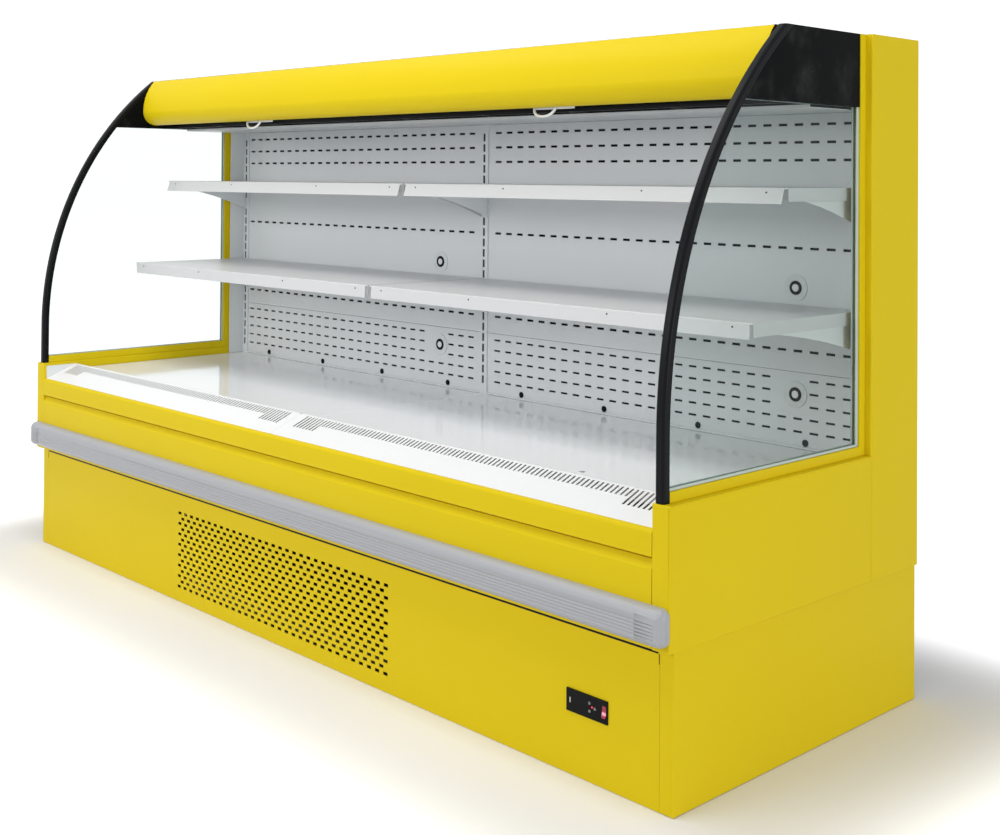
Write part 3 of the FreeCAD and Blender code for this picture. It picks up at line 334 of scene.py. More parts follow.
def lit_rocker_and_glint():
    """Red rocker with a lamp inside; the pale band across its lower half is a painted highlight, in both its
    colour and its glow.
    """
    rocker = Finish("lit_rocker_and_glint", Roughness=0.25, Emission_Strength=0.55)
    low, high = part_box("power_rocker")
    glint_z = low[2] + 0.36 * (high[2] - low[2])
    # Painted highlight: a pale band at a little over a third of the rocker's height.
    painted_glint = rocker.eased(abs(rocker.axis("Z") - glint_z), 0.0045, 0.0005)
    rocker.set("Base Color", rocker.colours(painted_glint, (0.20, 0.004, 0.020), (0.75, 0.22, 0.32)))
    rocker.set("Emission Color", rocker.colours(painted_glint, (0.22, 0.003, 0.030), (0.95, 0.40, 0.52)))
    return rocker.material


yellow = sheet_paint("yellow_paint", (0.735, 0.560, 0.009), (0.705, 0.533, 0.007), 0.36, 0.07)
white = sheet_paint("white_paint", (0.78, 0.805, 0.82), (0.75, 0.78, 0.795), 0.32, 0.35)
# Painted light and shade: the shelf, ledge and deck paints are copies of one white paint. The shelf copy is
# darker as painted shade, and the ledge and deck copies are lighter as painted light. The deck copy is also
# glossier.
shaded_shelf_white = sheet_paint("shelf_paint_painted_shade", (0.655, 0.665, 0.675), (0.63, 0.64, 0.65), 0.34, 0.3)
lit_ledge_white = sheet_paint("ledge_paint_painted_light", (0.87, 0.88, 0.89), (0.85, 0.86, 0.87), 0.30, 0.3)
lit_deck_white = sheet_paint("deck_paint_painted_light", (0.93, 0.94, 0.95), (0.91, 0.92, 0.93), 0.05, 0.24)
# Painted shade: near-black paint for what shows through the slots, which is only in shadow.
slot_shade_grey = sheet_paint("painted_slot_shade", (0.035, 0.037, 0.040), (0.050, 0.052, 0.055), 0.55, 0.2)
black_plastic = satin_plastic("black_plastic", (0.0045, 0.005, 0.006), 0.30, 0.08)
glass_seal = satin_plastic("glass_seal", (0.46, 0.54, 0.51), 0.35, 0.3)
key_plastic = satin_plastic("key_plastic", (0.17, 0.18, 0.18), 0.45)
window_plastic = satin_plastic("window_plastic", (0.40, 0.41, 0.41), 0.30)
white_plastic = satin_plastic("white_plastic", (0.80, 0.81, 0.81), 0.30)
socket_plastic = satin_plastic("socket_plastic", (0.66, 0.69, 0.70), 0.28)
finishes = {
    "yellow_paint": yellow,
    "white_paint": white,
    "black_panel": gloss_black(),
    "galvanised": galvanised_steel(),
    "black_plastic": black_plastic,
    "compressor_black": pot_enamel(),
    "coil_aluminium": brushed_fins(),
    "copper_pipe": drawn_copper(),
    "key_grey": key_plastic,
    "red_plastic": lit_rocker_and_glint(),
    "grey_plastic": silver_bumper(),
    "clear_glass": end_glass(),
    "socket_grey": socket_plastic,
    "white_plastic": white_plastic,
    "curtain_fabric": woven_fabric(),
}


# Modelling steps

def deselect():
    if bpy.context.object and bpy.context.object.mode != "OBJECT":
        bpy.ops.object.mode_set(mode="OBJECT")
    bpy.ops.object.select_all(action="DESELECT")


def pick(piece):
    deselect()
    piece.select_set(True)
    bpy.context.view_layer.objects.active = piece


def edit_as_is(piece):
    """Edit mode with the selection as it is."""
    pick(piece)
    bpy.ops.object.mode_set(mode="EDIT")


def edit(piece):
    """Edit mode with everything selected."""
    edit_as_is(piece)
    bpy.ops.mesh.select_all(action="SELECT")


def done():
    bpy.ops.object.mode_set(mode="OBJECT")


def on_side(side, strip):
    """Two distances from the middle as places on one side of the cabinet, the lower first."""
    return sorted(sides[side] * x for x in strip)


def tilted_block(name, centre, size, tilt=0):
    """Cube drawn out to a size and tipped about the length of the cabinet."""
    deselect()
    bpy.ops.mesh.primitive_cube_add(size=1, location=centre, rotation=(tilt, 0, 0))
    piece = bpy.context.object
    piece.name = name
    piece.scale = size
    bpy.ops.object.transform_apply(location=True, rotation=True, scale=True)
    return piece


def block(name, low, high):
    """Cube drawn out to two corners."""
    low, high = Vector(low), Vector(high)
    return tilted_block(name, (low + high) / 2, high - low)


def cylinder(name, centre, radius, depth, vertices, rotation=(0, 0, 0)):
    deselect()
    bpy.ops.mesh.primitive_cylinder_add(vertices=vertices, radius=radius, depth=depth, location=centre,
                                        rotation=rotation)
    piece = bpy.context.object
    piece.name = name
    bpy.ops.object.transform_apply(location=True, rotation=True, scale=True)
    return piece


def disc(name, centre, radius, depth, vertices=48):
    """Short cylinder that faces the front."""
    return cylinder(name, centre, radius, depth, vertices, (math.pi / 2, 0, 0))


def apply(piece, kind, **settings):
    """Add one modifier and apply it."""
    pick(piece)
    modifier = piece.modifiers.new(kind.title(), kind)
    for name, value in settings.items():
        setattr(modifier, name, value)
    bpy.ops.object.modifier_apply(modifier=modifier.name)
    return piece


def repeat(piece, count, step):
    """Row of copies, each a step on from the last."""
    return apply(piece, "ARRAY", count=count, use_relative_offset=False, use_constant_offset=True,
                 constant_offset_displace=step)


def join(pieces):
    deselect()
    for piece in pieces:
        piece.select_set(True)
    bpy.context.view_layer.objects.active = pieces[0]
    bpy.ops.object.join()
    return bpy.context.object


def copies(piece, shifts):
    """The piece and its copies, each moved by a shift."""
    made = [piece]
    for shift in shifts:
        pick(piece)
        bpy.ops.object.duplicate()
        copy = bpy.context.object
        copy.location = shift
        bpy.ops.object.transform_apply(location=True, rotation=True, scale=True)
        made.append(copy)
    return made


def faces(piece, wanted):
    """Edit mode with only the wanted faces selected."""
    edit(piece)
    bpy.ops.mesh.select_mode(type="FACE")
    bpy.ops.mesh.select_all(action="DESELECT")
    done()
    for face in piece.data.polygons:
        face.select = wanted(face)
    bpy.ops.object.mode_set(mode="EDIT")


def facing_front(face):
    return face.normal.y < -0.9


def sharp_edges(piece, wanted):
    """Edit mode with only the wanted sharp edges selected."""
    edit(piece)
    bpy.ops.mesh.select_mode(type="EDGE")
    bpy.ops.mesh.select_all(action="DESELECT")
    bpy.ops.mesh.edges_select_sharp(sharpness=math.radians(30))
    done()
    corners, ends = piece.data.vertices, set()
    for edge in piece.data.edges:
        edge.select = edge.select and wanted(*(corners[index].co for index in edge.vertices))
        ends.update(edge.vertices if edge.select else ())
    for corner in corners:
        corner.select = corner.index in ends
    for face in piece.data.polygons:
        face.select = False
    bpy.ops.object.mode_set(mode="EDIT")


def cut(piece, cutter):
    """Take the cutter out of the piece."""
    apply(piece, "BOOLEAN", operation="DIFFERENCE", solver="EXACT", object=cutter)
    bpy.data.objects.remove(cutter)
    return piece


def soften(piece, width, segments=2, angle=35):
    """Round the sharp edges a little and smooth the rest."""
    apply(piece, "BEVEL", width=width, segments=segments, limit_method="ANGLE",
          angle_limit=math.radians(angle), use_clamp_overlap=True)
    return apply(smooth(piece, angle), "WEIGHTED_NORMAL", keep_sharp=True)


def smooth(piece, angle=35):
    pick(piece)
    bpy.ops.object.shade_smooth_by_angle(angle=math.radians(angle))
    return piece


def traced(node, state="finished"):
    """Merged copy of a CAD node's mesh, to refine."""
    piece = bpy.data.objects.new(node + "_" + state, nodes[node].data.copy())
    bpy.context.scene.collection.objects.link(piece)
    piece.data.materials.clear()
    edit(piece)
    bpy.ops.mesh.remove_doubles(threshold=1e-6)
    bpy.ops.mesh.dissolve_limited(angle_limit=math.radians(0.5))
    done()
    return piece


def paint(piece, material):
    piece.data.materials.clear()
    piece.data.materials.append(material)
    return piece


def fit(piece, node, material=None):
    """Let a piece stand for a CAD node, on its body and in its finish."""
    slot = slot_of_node[node]
    if not piece.data.materials:
        paint(piece, material or finishes[slot])
    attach(piece, body_of_node[node])
    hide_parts(node)
    return piece


def trim(piece, body, material):
    """Let a small new piece ride on a body."""
    paint(piece, material)
    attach(piece, body)
    return piece


# Sheet-metal and moulded pieces with softened edges: width of the rounding and number of its steps

soft_edges = {
    "base_end_panels": (0.0012, 2),
    "front_nosing": (0.0004, 2),
    "front_fascia": (0.0004, 2),
    "end_box_left": (0.0028, 3),
    "end_box_right": (0.0028, 3),
    "end_columns": (0.0015, 2),
    "glass_rails": (0.0012, 2),
    "glass_trim_left": (0.0018, 3),
    "glass_trim_right": (0.0018, 3),
    "canopy_ends": (0.0012, 2),
    "canopy_front": (0.0004, 2),
    "canopy_roof": (0.0004, 2),
    "ceiling_panel": (0.0004, 2),
    "side_linings": (0.0003, 2),
    "shelf_brackets": (0.0005, 2),
    "controller_housing": (0.0006, 2),
    "key_up": (0.0006, 2),
    "key_down": (0.0006, 2),
    "key_set": (0.0006, 2),
    "power_rocker": (0.0006, 2),
    "levelling_feet": (0.0008, 2),
    "compressor": (0.0015, 2),
}
for node, (width, segments) in soft_edges.items():
    fit(soften(traced(node), width, segments), node)
fold_rounding = 0.0005
fit(soften(traced("deck_pans"), fold_rounding), "deck_pans", lit_deck_white)
for node in ("refrigerant_pipes", "condenser_impeller", "evaporator_impeller_left",
             "evaporator_impeller_right"):
    fit(smooth(traced(node), 50), node)


# Bumper: lower than its solid, with a thin seam at each cap and grooves that leave ribs there

bumper_low, bumper_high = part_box("bumper_rail")
bumper_seam, bumper_back = bumper_high[0], bumper_high[1]
bumper_share, seam_gap, cap_rounding = 0.9, 0.00015, 0.0055
seam_margin, back_margin = 0.001, 0.0005
groove_end, groove_half, groove_depth, groove_past = 1.232, 0.0008, 0.0009, 0.001
groove_rises = (0.0179, 0.0249, 0.0319, 0.0389, 0.0459)


def resized(piece, scale, centre):
    """Stretch a piece from a fixed centre."""
    edit(piece)
    bpy.ops.transform.resize(value=scale, center_override=centre)
    done()
    return piece


def outer_edge(start, end):
    """Whether an edge of a cap is clear of its seam and its back."""
    past_seam = min(abs(start.x), abs(end.x)) > bumper_seam + seam_margin
    return past_seam and min(start.y, end.y) < bumper_back - back_margin


rail, caps = [resized(traced(node), (1, 1, bumper_share), (0, 0, bumper_low[2]))
              for node in ("bumper_rail", "bumper_end_caps")]
resized(rail, (1 - seam_gap / bumper_seam, 1, 1), (0, 0, 0))
sharp_edges(caps, outer_edge)
bpy.ops.mesh.bevel(offset=cap_rounding, segments=4, affect="EDGES", clamp_overlap=False)
done()
groove_places = [bumper_low[2] + bumper_share * rise for rise in groove_rises]
for side in sides:
    x0, x1 = on_side(side, (bumper_seam - groove_past, groove_end))
    grooves = [block("cap_groove", (x0, bumper_low[1] - groove_past, z - groove_half),
                     (x1, bumper_low[1] + groove_depth, z + groove_half)) for z in groove_places]
    cut(caps, join(grooves))
fit(apply(smooth(caps), "WEIGHTED_NORMAL", keep_sharp=True), "bumper_end_caps")
fit(smooth(rail), "bumper_rail")


# Shelves: the leaning front lip stops short of both ends and carries four rivets

shelf_lips = {"upper": (0.0085, 0.011), "lower": (-0.1065, 0.001)}  # place of the lip and how far it leans
lip_height, lip_end, lip_front, lip_back, lip_top = 0.033, 0.009, 0.004, 0.0025, 0.003
rivet_shifts = (-0.55, -0.22, 0.22, 0.55)
rivet_radius, rivet_depth, rivet_drop, rivet_sunk, rivet_rounding = 0.0022, 0.0045, 0.0105, 0.0018, 0.0004
for level, (lip_y, lean) in shelf_lips.items():
    for side in sides:
        node = "shelf_" + level + "_" + side
        low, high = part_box(node)
        shelf = traced(node)
        for x in (low[0], high[0]):
            cut(shelf, block("lip_end", (x - lip_end, lip_y - 2 * lean - lip_front, high[2] - 2 * lip_height),
                             (x + lip_end, lip_y + lip_back, high[2] - lip_top)))
        fit(soften(shelf, fold_rounding), node, shaded_shelf_white)
        place = ((low[0] + high[0]) / 2 + rivet_shifts[0],
                 lip_y - lean * rivet_drop / lip_height + rivet_sunk, high[2] - rivet_drop)
        rivet = soften(disc(node + "_rivets", place, rivet_radius, rivet_depth, 16), rivet_rounding)
        rivets = join(copies(rivet, [(shift - rivet_shifts[0], 0, 0) for shift in rivet_shifts[1:]]))
        trim(rivets, "cabinet", black_plastic)


# Slots of the back panels, the uprights and the return-air grilles

def slot_row(place, size, count, step):
    """Row of boxes that cut slots."""
    place, half = Vector(place), Vector(size) / 2
    return repeat(block("slots", place - half, place + half), count, step)


def unbroken(places, blocked):
    """First place and count of each run of places that isn't blocked."""
    runs = []
    for index, place in enumerate(places):
        if blocked(place):
            continue
        if runs and runs[-1][1] == index - runs[-1][2]:
            runs[-1][2] += 1
        else:
            runs.append([place, index, 1])
    return [(place, count) for place, _, count in runs]


def near_socket(x, z):
    return any(abs(x - socket_x) < socket_clear_x and abs(z - socket_z) < socket_clear_z
               for socket_x, socket_z in socket_places)


panel_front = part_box("back_panels_upper")[0][1]
socket_places = [(x, z) for x in (-0.184, 1.024) for z in (0.6517, 0.8903)]
socket_clear_x, socket_clear_z = 0.045, 0.034
slot_length, slot_depth, slot_pitch, first_slot, slot_count = 0.023, 0.006, 0.0424, 0.054, 27
right_slots = [first_slot + index * slot_pitch for index in range(slot_count)]
left_slots = [-x for x in reversed(right_slots)]
panel_rows = {"back_panels_upper": (0.0060, (1.2565, 1.2165, 1.1765, 0.979, 0.749)),
              "back_panels_lower": (0.0050, (0.684, 0.6552, 0.6264, 0.5976, 0.569))}
for node, (slot_height, rows) in panel_rows.items():
    slot_size = (slot_length, slot_depth, slot_height)
    cutters = []
    for z in rows:
        for places in (left_slots, right_slots):
            for x, count in unbroken(places, lambda x: near_socket(x, z)):
                cutters.append(slot_row((x, panel_front, z), slot_size, count, (slot_pitch, 0, 0)))
    fit(cut(smooth(traced(node, "slotted")), join(cutters)), node)

# Painted shade: the back wall's foremost faces, seen through the slots of the back panels, take the
# near-black slot paint.
wall = smooth(traced("back_wall"))
paint(wall, white)
wall.data.materials.append(slot_shade_grey)
wall_front, front_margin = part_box("back_wall")[0][1], 0.001
for face in wall.data.polygons:
    foremost = facing_front(face) and face.center.y < wall_front + front_margin
    face.material_index = 1 if foremost else 0
fit(wall, "back_wall")

upright_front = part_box("shelf_uprights")[0][1]
upright_slot = (0.0084, 0.006, 0.0215)
hook_slot, hook_pitch = 0.7769, 0.029256
# First slot of each run, counted from a hook's, and number of slots
past_hooks = ((-7, 7), (1, 8), (10, 7))
slot_columns = ((-1.1930, past_hooks), (0, ((-7, 24),)), (1.1930, past_hooks))
# Painted shade: dark strips behind the slots of the uprights.
backing_half, backing_past, backing_front, backing_rear = 0.0064, 0.0132, 0.0022, 0.0028
backing_rounding = 0.0001
cutters, shade_backings = [], []
for x, runs in slot_columns:
    for first, count in runs:
        z0, z1 = hook_slot + first * hook_pitch, hook_slot + (first + count - 1) * hook_pitch
        cutters.append(slot_row((x, upright_front, z0), upright_slot, count, (0, 0, hook_pitch)))
        shade_backings.append(block("slot_shade_backing",
                              (x - backing_half, upright_front + backing_front, z0 - backing_past),
                              (x + backing_half, upright_front + backing_rear, z1 + backing_past)))
fit(cut(smooth(traced("shelf_uprights", "slotted")), join(cutters)), "shelf_uprights")
trim(soften(join(shade_backings), backing_rounding), "cabinet", slot_shade_grey)

bay_middle = 0.604
ledge_foot, ledge_crest = Vector((0, -0.4045, 0.508)), Vector((0, -0.3125, 0.546))
ledge_slope = ledge_crest - ledge_foot
ledge_tilt = math.atan2(ledge_slope.z, ledge_slope.y)
air_slot_width, air_slot_depth, air_slot_pitch = 0.006, 0.008, 0.0126
back_share, short_front, long_front = 0.955, 0.69, 0.45  # ends of the slots, as shares of the slope
long_count, short_count = 7, 77
half_row = (2 * long_count + short_count - 1) // 2
slot_groups = ((0, long_front, long_count), (long_count, short_front, short_count),
               (long_count + short_count, long_front, long_count))


def air_slots(x, front_share, count):
    """Row of slots that run down the slope of the ledge."""
    middle = ledge_foot + ledge_slope * (back_share + front_share) / 2
    size = (air_slot_width, ledge_slope.length * (back_share - front_share), air_slot_depth)
    slot = tilted_block("air_slots", (x, middle.y, middle.z), size, ledge_tilt)
    return repeat(slot, count, (air_slot_pitch, 0, 0))


cutters = []
for bay in (-bay_middle, bay_middle):
    first_x = bay - half_row * air_slot_pitch
    for start, front_share, count in slot_groups:
        cutters.append(air_slots(first_x + start * air_slot_pitch, front_share, count))
grilles = cut(smooth(traced("return_grilles", "slotted")), join(cutters))
fit(grilles, "return_grilles", lit_ledge_white)


# Lamp sockets, plugs and controller lights

def faced_disc(name, place, radius, depth, rim, rise, material, width=0.0003):
    """Disc on a place of a front face, its own front stepped inside a rim."""
    x, y, z = place
    piece = disc(name, (x, y - depth / 2, z), radius, depth)
    faces(piece, facing_front)
    bpy.ops.mesh.inset(thickness=rim, depth=rise)
    done()
    return paint(soften(piece, width), material)


first_x, first_z = socket_places[0]
rings = ((0.0298, 0.0022, 0.0016, -0.0005, socket_plastic),  # radius, depth, rim, step and finish
         (0.0160, 0.0030, 0.0012, -0.0004, black_plastic),
         (0.0085, 0.0036, 0.0010, 0.0002, white_plastic))
socket = join([faced_disc("socket", (first_x, panel_front, first_z), *ring) for ring in rings])
sockets = join(copies(socket, [(x - first_x, 0, z - first_z) for x, z in socket_places[1:]]))
sockets.name = "light_sockets_finished"
fit(sockets, "light_sockets")

plug_x, plug_z, plug_pitch, plug_count = -1.05, 0.546, 0.3, 8
plug = faced_disc("plug", (plug_x, panel_front, plug_z), radius=0.0078, depth=0.0022, rim=0.0018,
                  rise=0.0003, material=black_plastic, width=0.0006)
plugs = join(copies(plug, [(plug_pitch * step, 0, 0) for step in range(1, plug_count)]))
plugs.name = "panel_plugs_finished"
fit(plugs, "panel_plugs")

housing_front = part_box("controller_housing")[0][1]
lamp_x, lamp_z = 1.0514, 0.1433
window_x, window_z, window_depth, window_rounding = (0.9934, 0.9966), (0.1374, 0.1476), 0.0004, 0.0002
lamp_red = glowing("lamp_red", (0.9, 0.02, 0.06), 1.6)
red_lens = faced_disc("controller_lamp", (lamp_x, housing_front, lamp_z), radius=0.0018, depth=0.0006,
                      rim=0.0006, rise=0.0002, material=lamp_red, width=0.0001)
trim(red_lens, "cabinet", lamp_red)
window = block("controller_window", (window_x[0], housing_front - window_depth, window_z[0]),
               (window_x[1], housing_front, window_z[1]))
trim(soften(window, window_rounding), "cabinet", window_plastic)


# Sealing beads of the glass ends and linings beside the ledge

clearance = 0.0002
rail_y, rail_top, glass_top = 0.2275, 0.575, 1.2857
bead_strips = ((1.2160, 1.2198), (1.2262, 1.2300))  # inside and outside of the pane
bead_front, bead_gap, bead_rounding_share = -0.3930, 0.0003, 0.15
bead_sizes = {"left": (0.0035, 0.0022), "right": (0.0080, 0.0055)}  # depth at the rear, height at the rail
lining_strip, lining_low, lining_high = (1.2064, 1.2078), (-0.4040, 0.5083), (-0.3100, 0.5460)
lining_rounding = 0.0003
for side, (bead_depth, bead_rise) in bead_sizes.items():
    beads = []
    for strip in bead_strips:
        x0, x1 = on_side(side, strip)
        beads.append(block("glass_bead_" + side, (x0, rail_y - bead_depth, rail_top + clearance),
                           (x1, rail_y - clearance, glass_top)))
        beads.append(block("glass_bead", (x0, bead_front, rail_top + clearance),
                           (x1, rail_y - bead_depth - bead_gap, rail_top + bead_rise)))
    trim(soften(join(beads), bead_rounding_share * bead_depth), "cabinet", glass_seal)
    x0, x1 = on_side(side, lining_strip)
    lining = block("ledge_lining_" + side, (x0, *lining_low), (x1, *lining_high))
    trim(soften(lining, lining_rounding), "cabinet", white)


# Joints of the deck and the ledge, coves behind the deck, painted shadow lines along the base and screw in
# the deck

deck_low, deck_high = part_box("deck_pans")
deck_top = deck_high[2]
joint_half, joint_depth, joint_rounding, deck_gap = 0.0019, 0.0014, 0.0003, 0.0001
deck_joint = block("deck_joint", (-joint_half, deck_low[1], deck_top - joint_depth),
                   (joint_half, deck_high[1], deck_top - deck_gap))
trim(soften(deck_joint, joint_rounding), "cabinet", lit_deck_white)

joint_sunk, joint_short, joint_thickness = 0.0009, 0.004, 0.0012
ledge_up = Vector((0, -math.sin(ledge_tilt), math.cos(ledge_tilt)))
ledge_joint = tilted_block("ledge_joint", (ledge_foot + ledge_crest) / 2 - ledge_up * joint_sunk,
                           (2 * joint_half, ledge_slope.length - joint_short, joint_thickness), ledge_tilt)
trim(soften(ledge_joint, joint_rounding), "cabinet", lit_ledge_white)

panel_low, panel_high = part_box("back_panels_lower")
cove_start, cove_depth, cove_lap, cove_rounding = 0.0156, 0.0055, 0.0016, 0.0018
for side in sides:
    x0, x1 = on_side(side, (cove_start, panel_high[0]))
    cove = block("deck_cove_" + side, (x0, panel_front - cove_depth, deck_top + deck_gap),
                 (x1, panel_front - clearance, panel_low[2] + cove_lap))
    trim(soften(cove, cove_rounding, 3), "cabinet", white)

base_low, base_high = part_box("base_front_panel")
base_front, base_top = base_low[1], base_high[2]
# Painted shadow: a thin black strip along the top of the base front and two short ones at its ends, where the
# gaps are in shade.
shadow_strip_end, shadow_strip_low, shadow_strip_depth, shadow_strip_rounding = 1.2080, 0.2826, 0.0006, 0.0002
tail_x, tail_half, tail_low, tail_high = 1.2100, 0.0006, 0.2640, 0.2824
shadow_strips = [block("base_painted_shadow", (-shadow_strip_end, base_front - shadow_strip_depth, shadow_strip_low),
                 (shadow_strip_end, base_front, base_top - clearance))]
for x in (-tail_x, tail_x):
    shadow_strips.append(block("base_painted_shadow", (x - tail_half, base_front - shadow_strip_depth, tail_low),
                         (x + tail_half, base_front, tail_high)))
trim(soften(join(shadow_strips), shadow_strip_rounding), "cabinet", black_plastic)

screw_x, screw_y, screw_radius, screw_height, screw_rounding = 0.877, -0.239, 0.006, 0.0012, 0.0005
deck_screw = cylinder("deck_screw", (screw_x, screw_y, deck_top + screw_height / 2), screw_radius,
                      screw_height, 24)
trim(soften(deck_screw, screw_rounding), "cabinet", finishes["galvanised"])


# Night curtains: rolls wound on their tubes, the hung part of the cloth, and the pull bars

roll_y, roll_z, roll_radius, roll_pitch, cloth_thickness = 0.0113, 1.370, 0.0267, 0.0009, 0.0005
roll_ends = (0.022, 1.186)
half_turns, turn_steps, cloth_cuts = 12, 16, 23
tube_radius, bore_radius, bore_depth, tube_sides = 0.0208, 0.0072, 0.020, 48
bar_top = 1.3183
cloth_y = roll_y - roll_radius


def straight_edge(name, x0, x1, y, z):
    """One edge along the cabinet, to spin or extrude: a plane without its far edge, moved to its place."""
    deselect()
    bpy.ops.mesh.primitive_plane_add(size=1, location=((x0 + x1) / 2, y, z))
    piece = bpy.context.object
    piece.name = name
    piece.scale = (x1 - x0, 1, 1)
    bpy.ops.object.transform_apply(location=True, rotation=True, scale=True)
    edit(piece)
    bpy.ops.mesh.select_all(action="DESELECT")
    bpy.ops.mesh.select_mode(type="VERT")
    done()
    for vertex in piece.data.vertices:
        vertex.select = vertex.co.y > y
    edit_as_is(piece)
    bpy.ops.mesh.delete(type="VERT")
    bpy.ops.mesh.select_all(action="SELECT")
    bpy.ops.transform.translate(value=(0, 0.5, 0))
    done()
    return piece


def wound_roll(name, x0, x1):
    """Cloth wound in a spiral of half turns, each a little closer in."""
    roll = straight_edge(name, x0, x1, cloth_y, roll_z)
    edit(roll)
    for half_turn in range(half_turns):
        shift = roll_pitch / 2 if half_turn % 2 else 0
        bpy.ops.mesh.spin(steps=turn_steps, angle=-math.pi, center=(0, roll_y + shift, roll_z),
                          axis=(1, 0, 0))
    bpy.ops.mesh.select_all(action="SELECT")
    bpy.ops.mesh.normals_make_consistent(inside=False)
    done()
    apply(roll, "SOLIDIFY", thickness=cloth_thickness, offset=0)
    return smooth(roll, 60)


def roll_tube(name, x0, x1):
    """Steel tube inside the roll, with a bore for its pin at each end."""
    tube = cylinder(name, ((x0 + x1) / 2, roll_y, roll_z), tube_radius, x1 - x0, tube_sides,
                    (0, math.pi / 2, 0))
    faces(tube, lambda face: abs(face.normal.x) > 0.9)
    bpy.ops.mesh.inset(thickness=tube_radius - bore_radius, use_individual=True)
    done()
    for sign in sides.values():
        faces(tube, lambda face: face.normal.x * sign > 0.9 and len(face.vertices) == tube_sides)
        bpy.ops.mesh.extrude_region_move(TRANSFORM_OT_translate={"value": (-sign * bore_depth, 0, 0)})
        done()
    return smooth(tube)


def hung_cloth(name, x0, x1):
    """Cloth from the front of the roll down to the bar."""
    cloth = straight_edge(name, x0, x1, cloth_y, roll_z)
    edit(cloth)
    bpy.ops.mesh.extrude_region_move(TRANSFORM_OT_translate={"value": (0, 0, bar_top - roll_z)})
    bpy.ops.mesh.select_all(action="SELECT")
    bpy.ops.mesh.subdivide(number_cuts=cloth_cuts)
    bpy.ops.mesh.normals_make_consistent(inside=False)
    done()
    return smooth(apply(cloth, "SOLIDIFY", thickness=cloth_thickness, offset=0), 60)


def pull_loop(name, place, forward, half_width, drop, radius):
    """Smooth U of rod that hangs from the bar and leans out."""
    deselect()
    bpy.ops.curve.primitive_bezier_curve_add(location=(0, 0, 0))
    loop = bpy.context.object
    loop.name = name
    spline = loop.data.splines[0]
    spline.bezier_points.add(1)
    feet = ((-half_width, 0, 0), (0, -forward, -drop), (half_width, 0, 0))
    pulls = ((0, -forward * curl_share, -drop * curl_share), (half_width * curl_share, 0, 0),
             (0, forward * curl_share, drop * curl_share))
    for point, foot, pull in zip(spline.bezier_points, feet, pulls):
        point.handle_left_type = point.handle_right_type = "FREE"
        point.co = Vector(place) + Vector(foot)
        point.handle_left, point.handle_right = point.co - Vector(pull), point.co + Vector(pull)
    loop.data.dimensions = "3D"
    loop.data.bevel_depth, loop.data.bevel_resolution = radius, 4
    loop.data.resolution_u = 16
    loop.data.use_fill_caps = True
    pick(loop)
    bpy.ops.object.convert(target="MESH")
    return smooth(bpy.context.object, 60)


bar_front, bar_heights, bar_rounding = -0.0245, (1.300, 1.318), 0.0022
plate_ends, plate_heights, plate_depth, plate_rounding = (-0.042, 0.090), (1.292, 1.308), 0.003, 0.0009
loop_shift, loop_z, loop_out, curl_share = 0.044, 1.297, 0.005, 0.6
for side, sign in sides.items():
    x0, x1 = on_side(side, roll_ends)
    roll = fit(wound_roll("curtain_roll_" + side, x0, x1), "curtain_roller_" + side)
    tube = roll_tube("curtain_tube_" + side, x0, x1)
    trim(tube, "roller_" + side, finishes["galvanised"])
    x1 - x0
    cloth = paint(hung_cloth("curtain_cloth_" + side, x0, x1), finishes["curtain_fabric"])
    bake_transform(cloth)
    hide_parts("curtain_fabric_" + side)
    x1 - x0

    low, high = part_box("curtain_bar_" + side)
    loop_x = sign * bay_middle - loop_shift
    bar = block("curtain_bar_" + side + "_finished", (low[0], bar_front, bar_heights[0]),
                (high[0], high[1], bar_heights[1]))
    soften(bar, bar_rounding, 3)
    plate = block("loop_plate", (loop_x + plate_ends[0], bar_front - plate_depth, plate_heights[0]),
                  (loop_x + plate_ends[1], bar_front, plate_heights[1]))
    soften(plate, plate_rounding)
    loop = pull_loop("loop", (loop_x, bar_front - loop_out, loop_z), forward=0.0080, half_width=0.0340,
                     drop=0.0215, radius=0.0032)
    fit(join([bar, plate, loop]), "curtain_bar_" + side)


# Finishes of the nodes that show as they are

# Painted shade: the condenser coil and the galvanised base frame go near-black, so that the holes of the base
# look dark.
shade_finishes = {"condenser_coil": shade_black_fins(), "base_frame": finishes["compressor_black"]}
for node, thing in nodes.items():
    if not thing.hide_render:
        paint(thing, shade_finishes.get(node, finishes[slot_of_node[node]]))


# Room, lights and camera

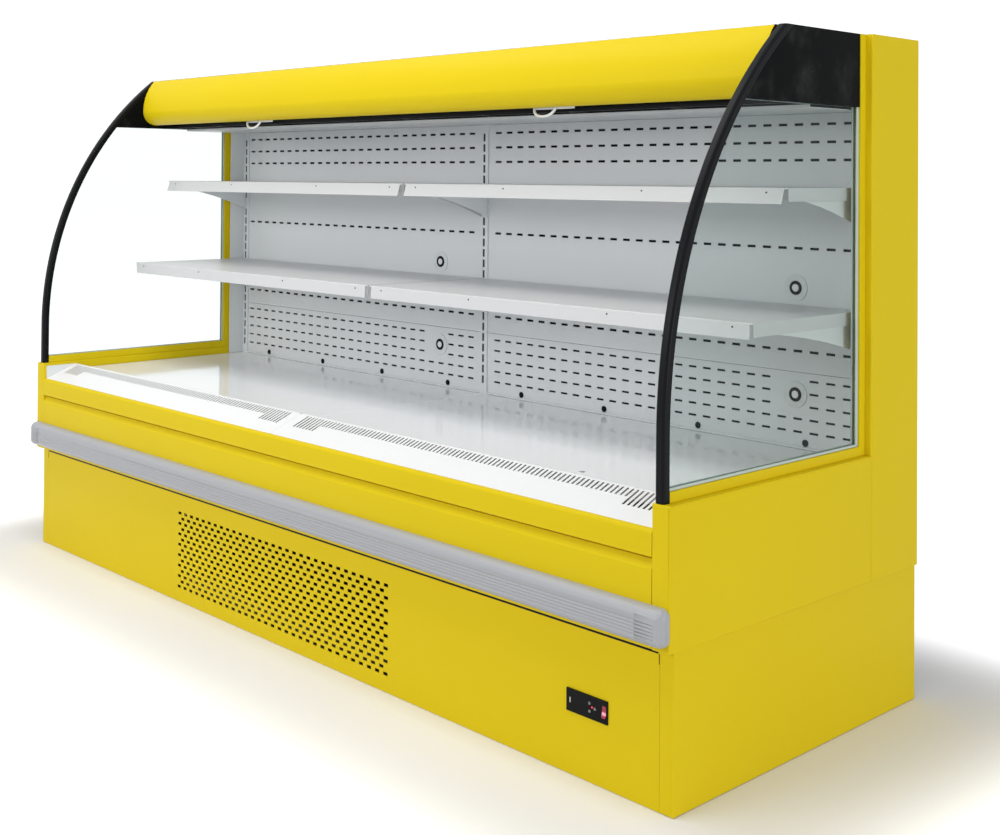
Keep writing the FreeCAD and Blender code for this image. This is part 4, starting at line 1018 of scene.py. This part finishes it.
deselect()
bpy.ops.mesh.primitive_plane_add(size=60, location=(0, 0, 0))
floor = bpy.context.object
floor.name = "studio_floor"
pale = Finish("studio_floor", Roughness=0.9, Emission_Strength=0.68)
pale.set("Base Color", pale.colours(pale.noise(2.0), (0.85, 0.85, 0.85), (0.87, 0.87, 0.87)))
past_end = (abs(pale.axis("X")) - cad_high[0]).larger(0)
past_side = (abs(pale.axis("Y")) - cad_high[1]).larger(0)
open_floor = pale.eased(past_end * past_end + past_side * past_side, 0.0, 0.2)
pale.set("Emission Color", pale.colours(pale.seen_directly() * open_floor, (0, 0, 0), (1, 1, 1)))
paint(floor, pale.material)

world = bpy.data.worlds.new("studio")
bpy.context.scene.world = world
world.use_nodes = True
sky = Nodes(world.node_tree)
background = world.node_tree.nodes["Background"]
background.inputs["Color"].default_value = (1, 1, 1, 1)
room_light, seen_light = 0.42, 1.1
sky.feed(background.inputs["Strength"], room_light + (seen_light - room_light) * sky.seen_directly())


def lamp(name, place, target, size, power):
    """Softbox that the camera doesn't see."""
    deselect()
    bpy.ops.object.light_add(type="AREA", location=place)
    made = bpy.context.object
    made.name = name
    made.data.shape = "RECTANGLE"
    made.data.size, made.data.size_y = size
    made.data.energy = power
    made.rotation_euler = (Vector(target) - Vector(place)).to_track_quat("-Z", "Y").to_euler()
    made.visible_camera = False


lamp("overhead_softbox", place=(0.0, -1.1, 3.4), target=(0, -1.1, 0.0), size=(4.5, 1.6), power=64)
lamp("front_softbox", place=(-1.0, -5.0, 2.4), target=(0, 0, 0.6), size=(3.5, 1.6), power=88)
lamp("side_softbox", place=(9.0, -0.7, 1.05), target=(0, 0, 0.8), size=(4.0, 1.9), power=208)

camera_place = Vector((2.7808, -2.2962, 1.1302))
turn, tip, lean = math.radians(46.526), math.radians(0.731), math.radians(0.404)
away = Vector((-math.sin(turn) * math.cos(tip), math.cos(turn) * math.cos(tip), math.sin(tip)))
deselect()
bpy.ops.object.camera_add(location=camera_place)
camera = bpy.context.object
camera.rotation_mode = "QUATERNION"
camera.rotation_quaternion = away.to_track_quat("-Z", "Y") @ Matrix.Rotation(lean, 4, "Z").to_quaternion()
camera.data.sensor_width = 36.0
camera.data.lens = 49.113
camera.data.shift_x = 0.0054
camera.data.shift_y = -0.2562
camera.data.clip_start, camera.data.clip_end = 0.05, 100.0
bpy.context.scene.camera = camera
bpy.context.scene.view_settings.view_transform = "Standard"
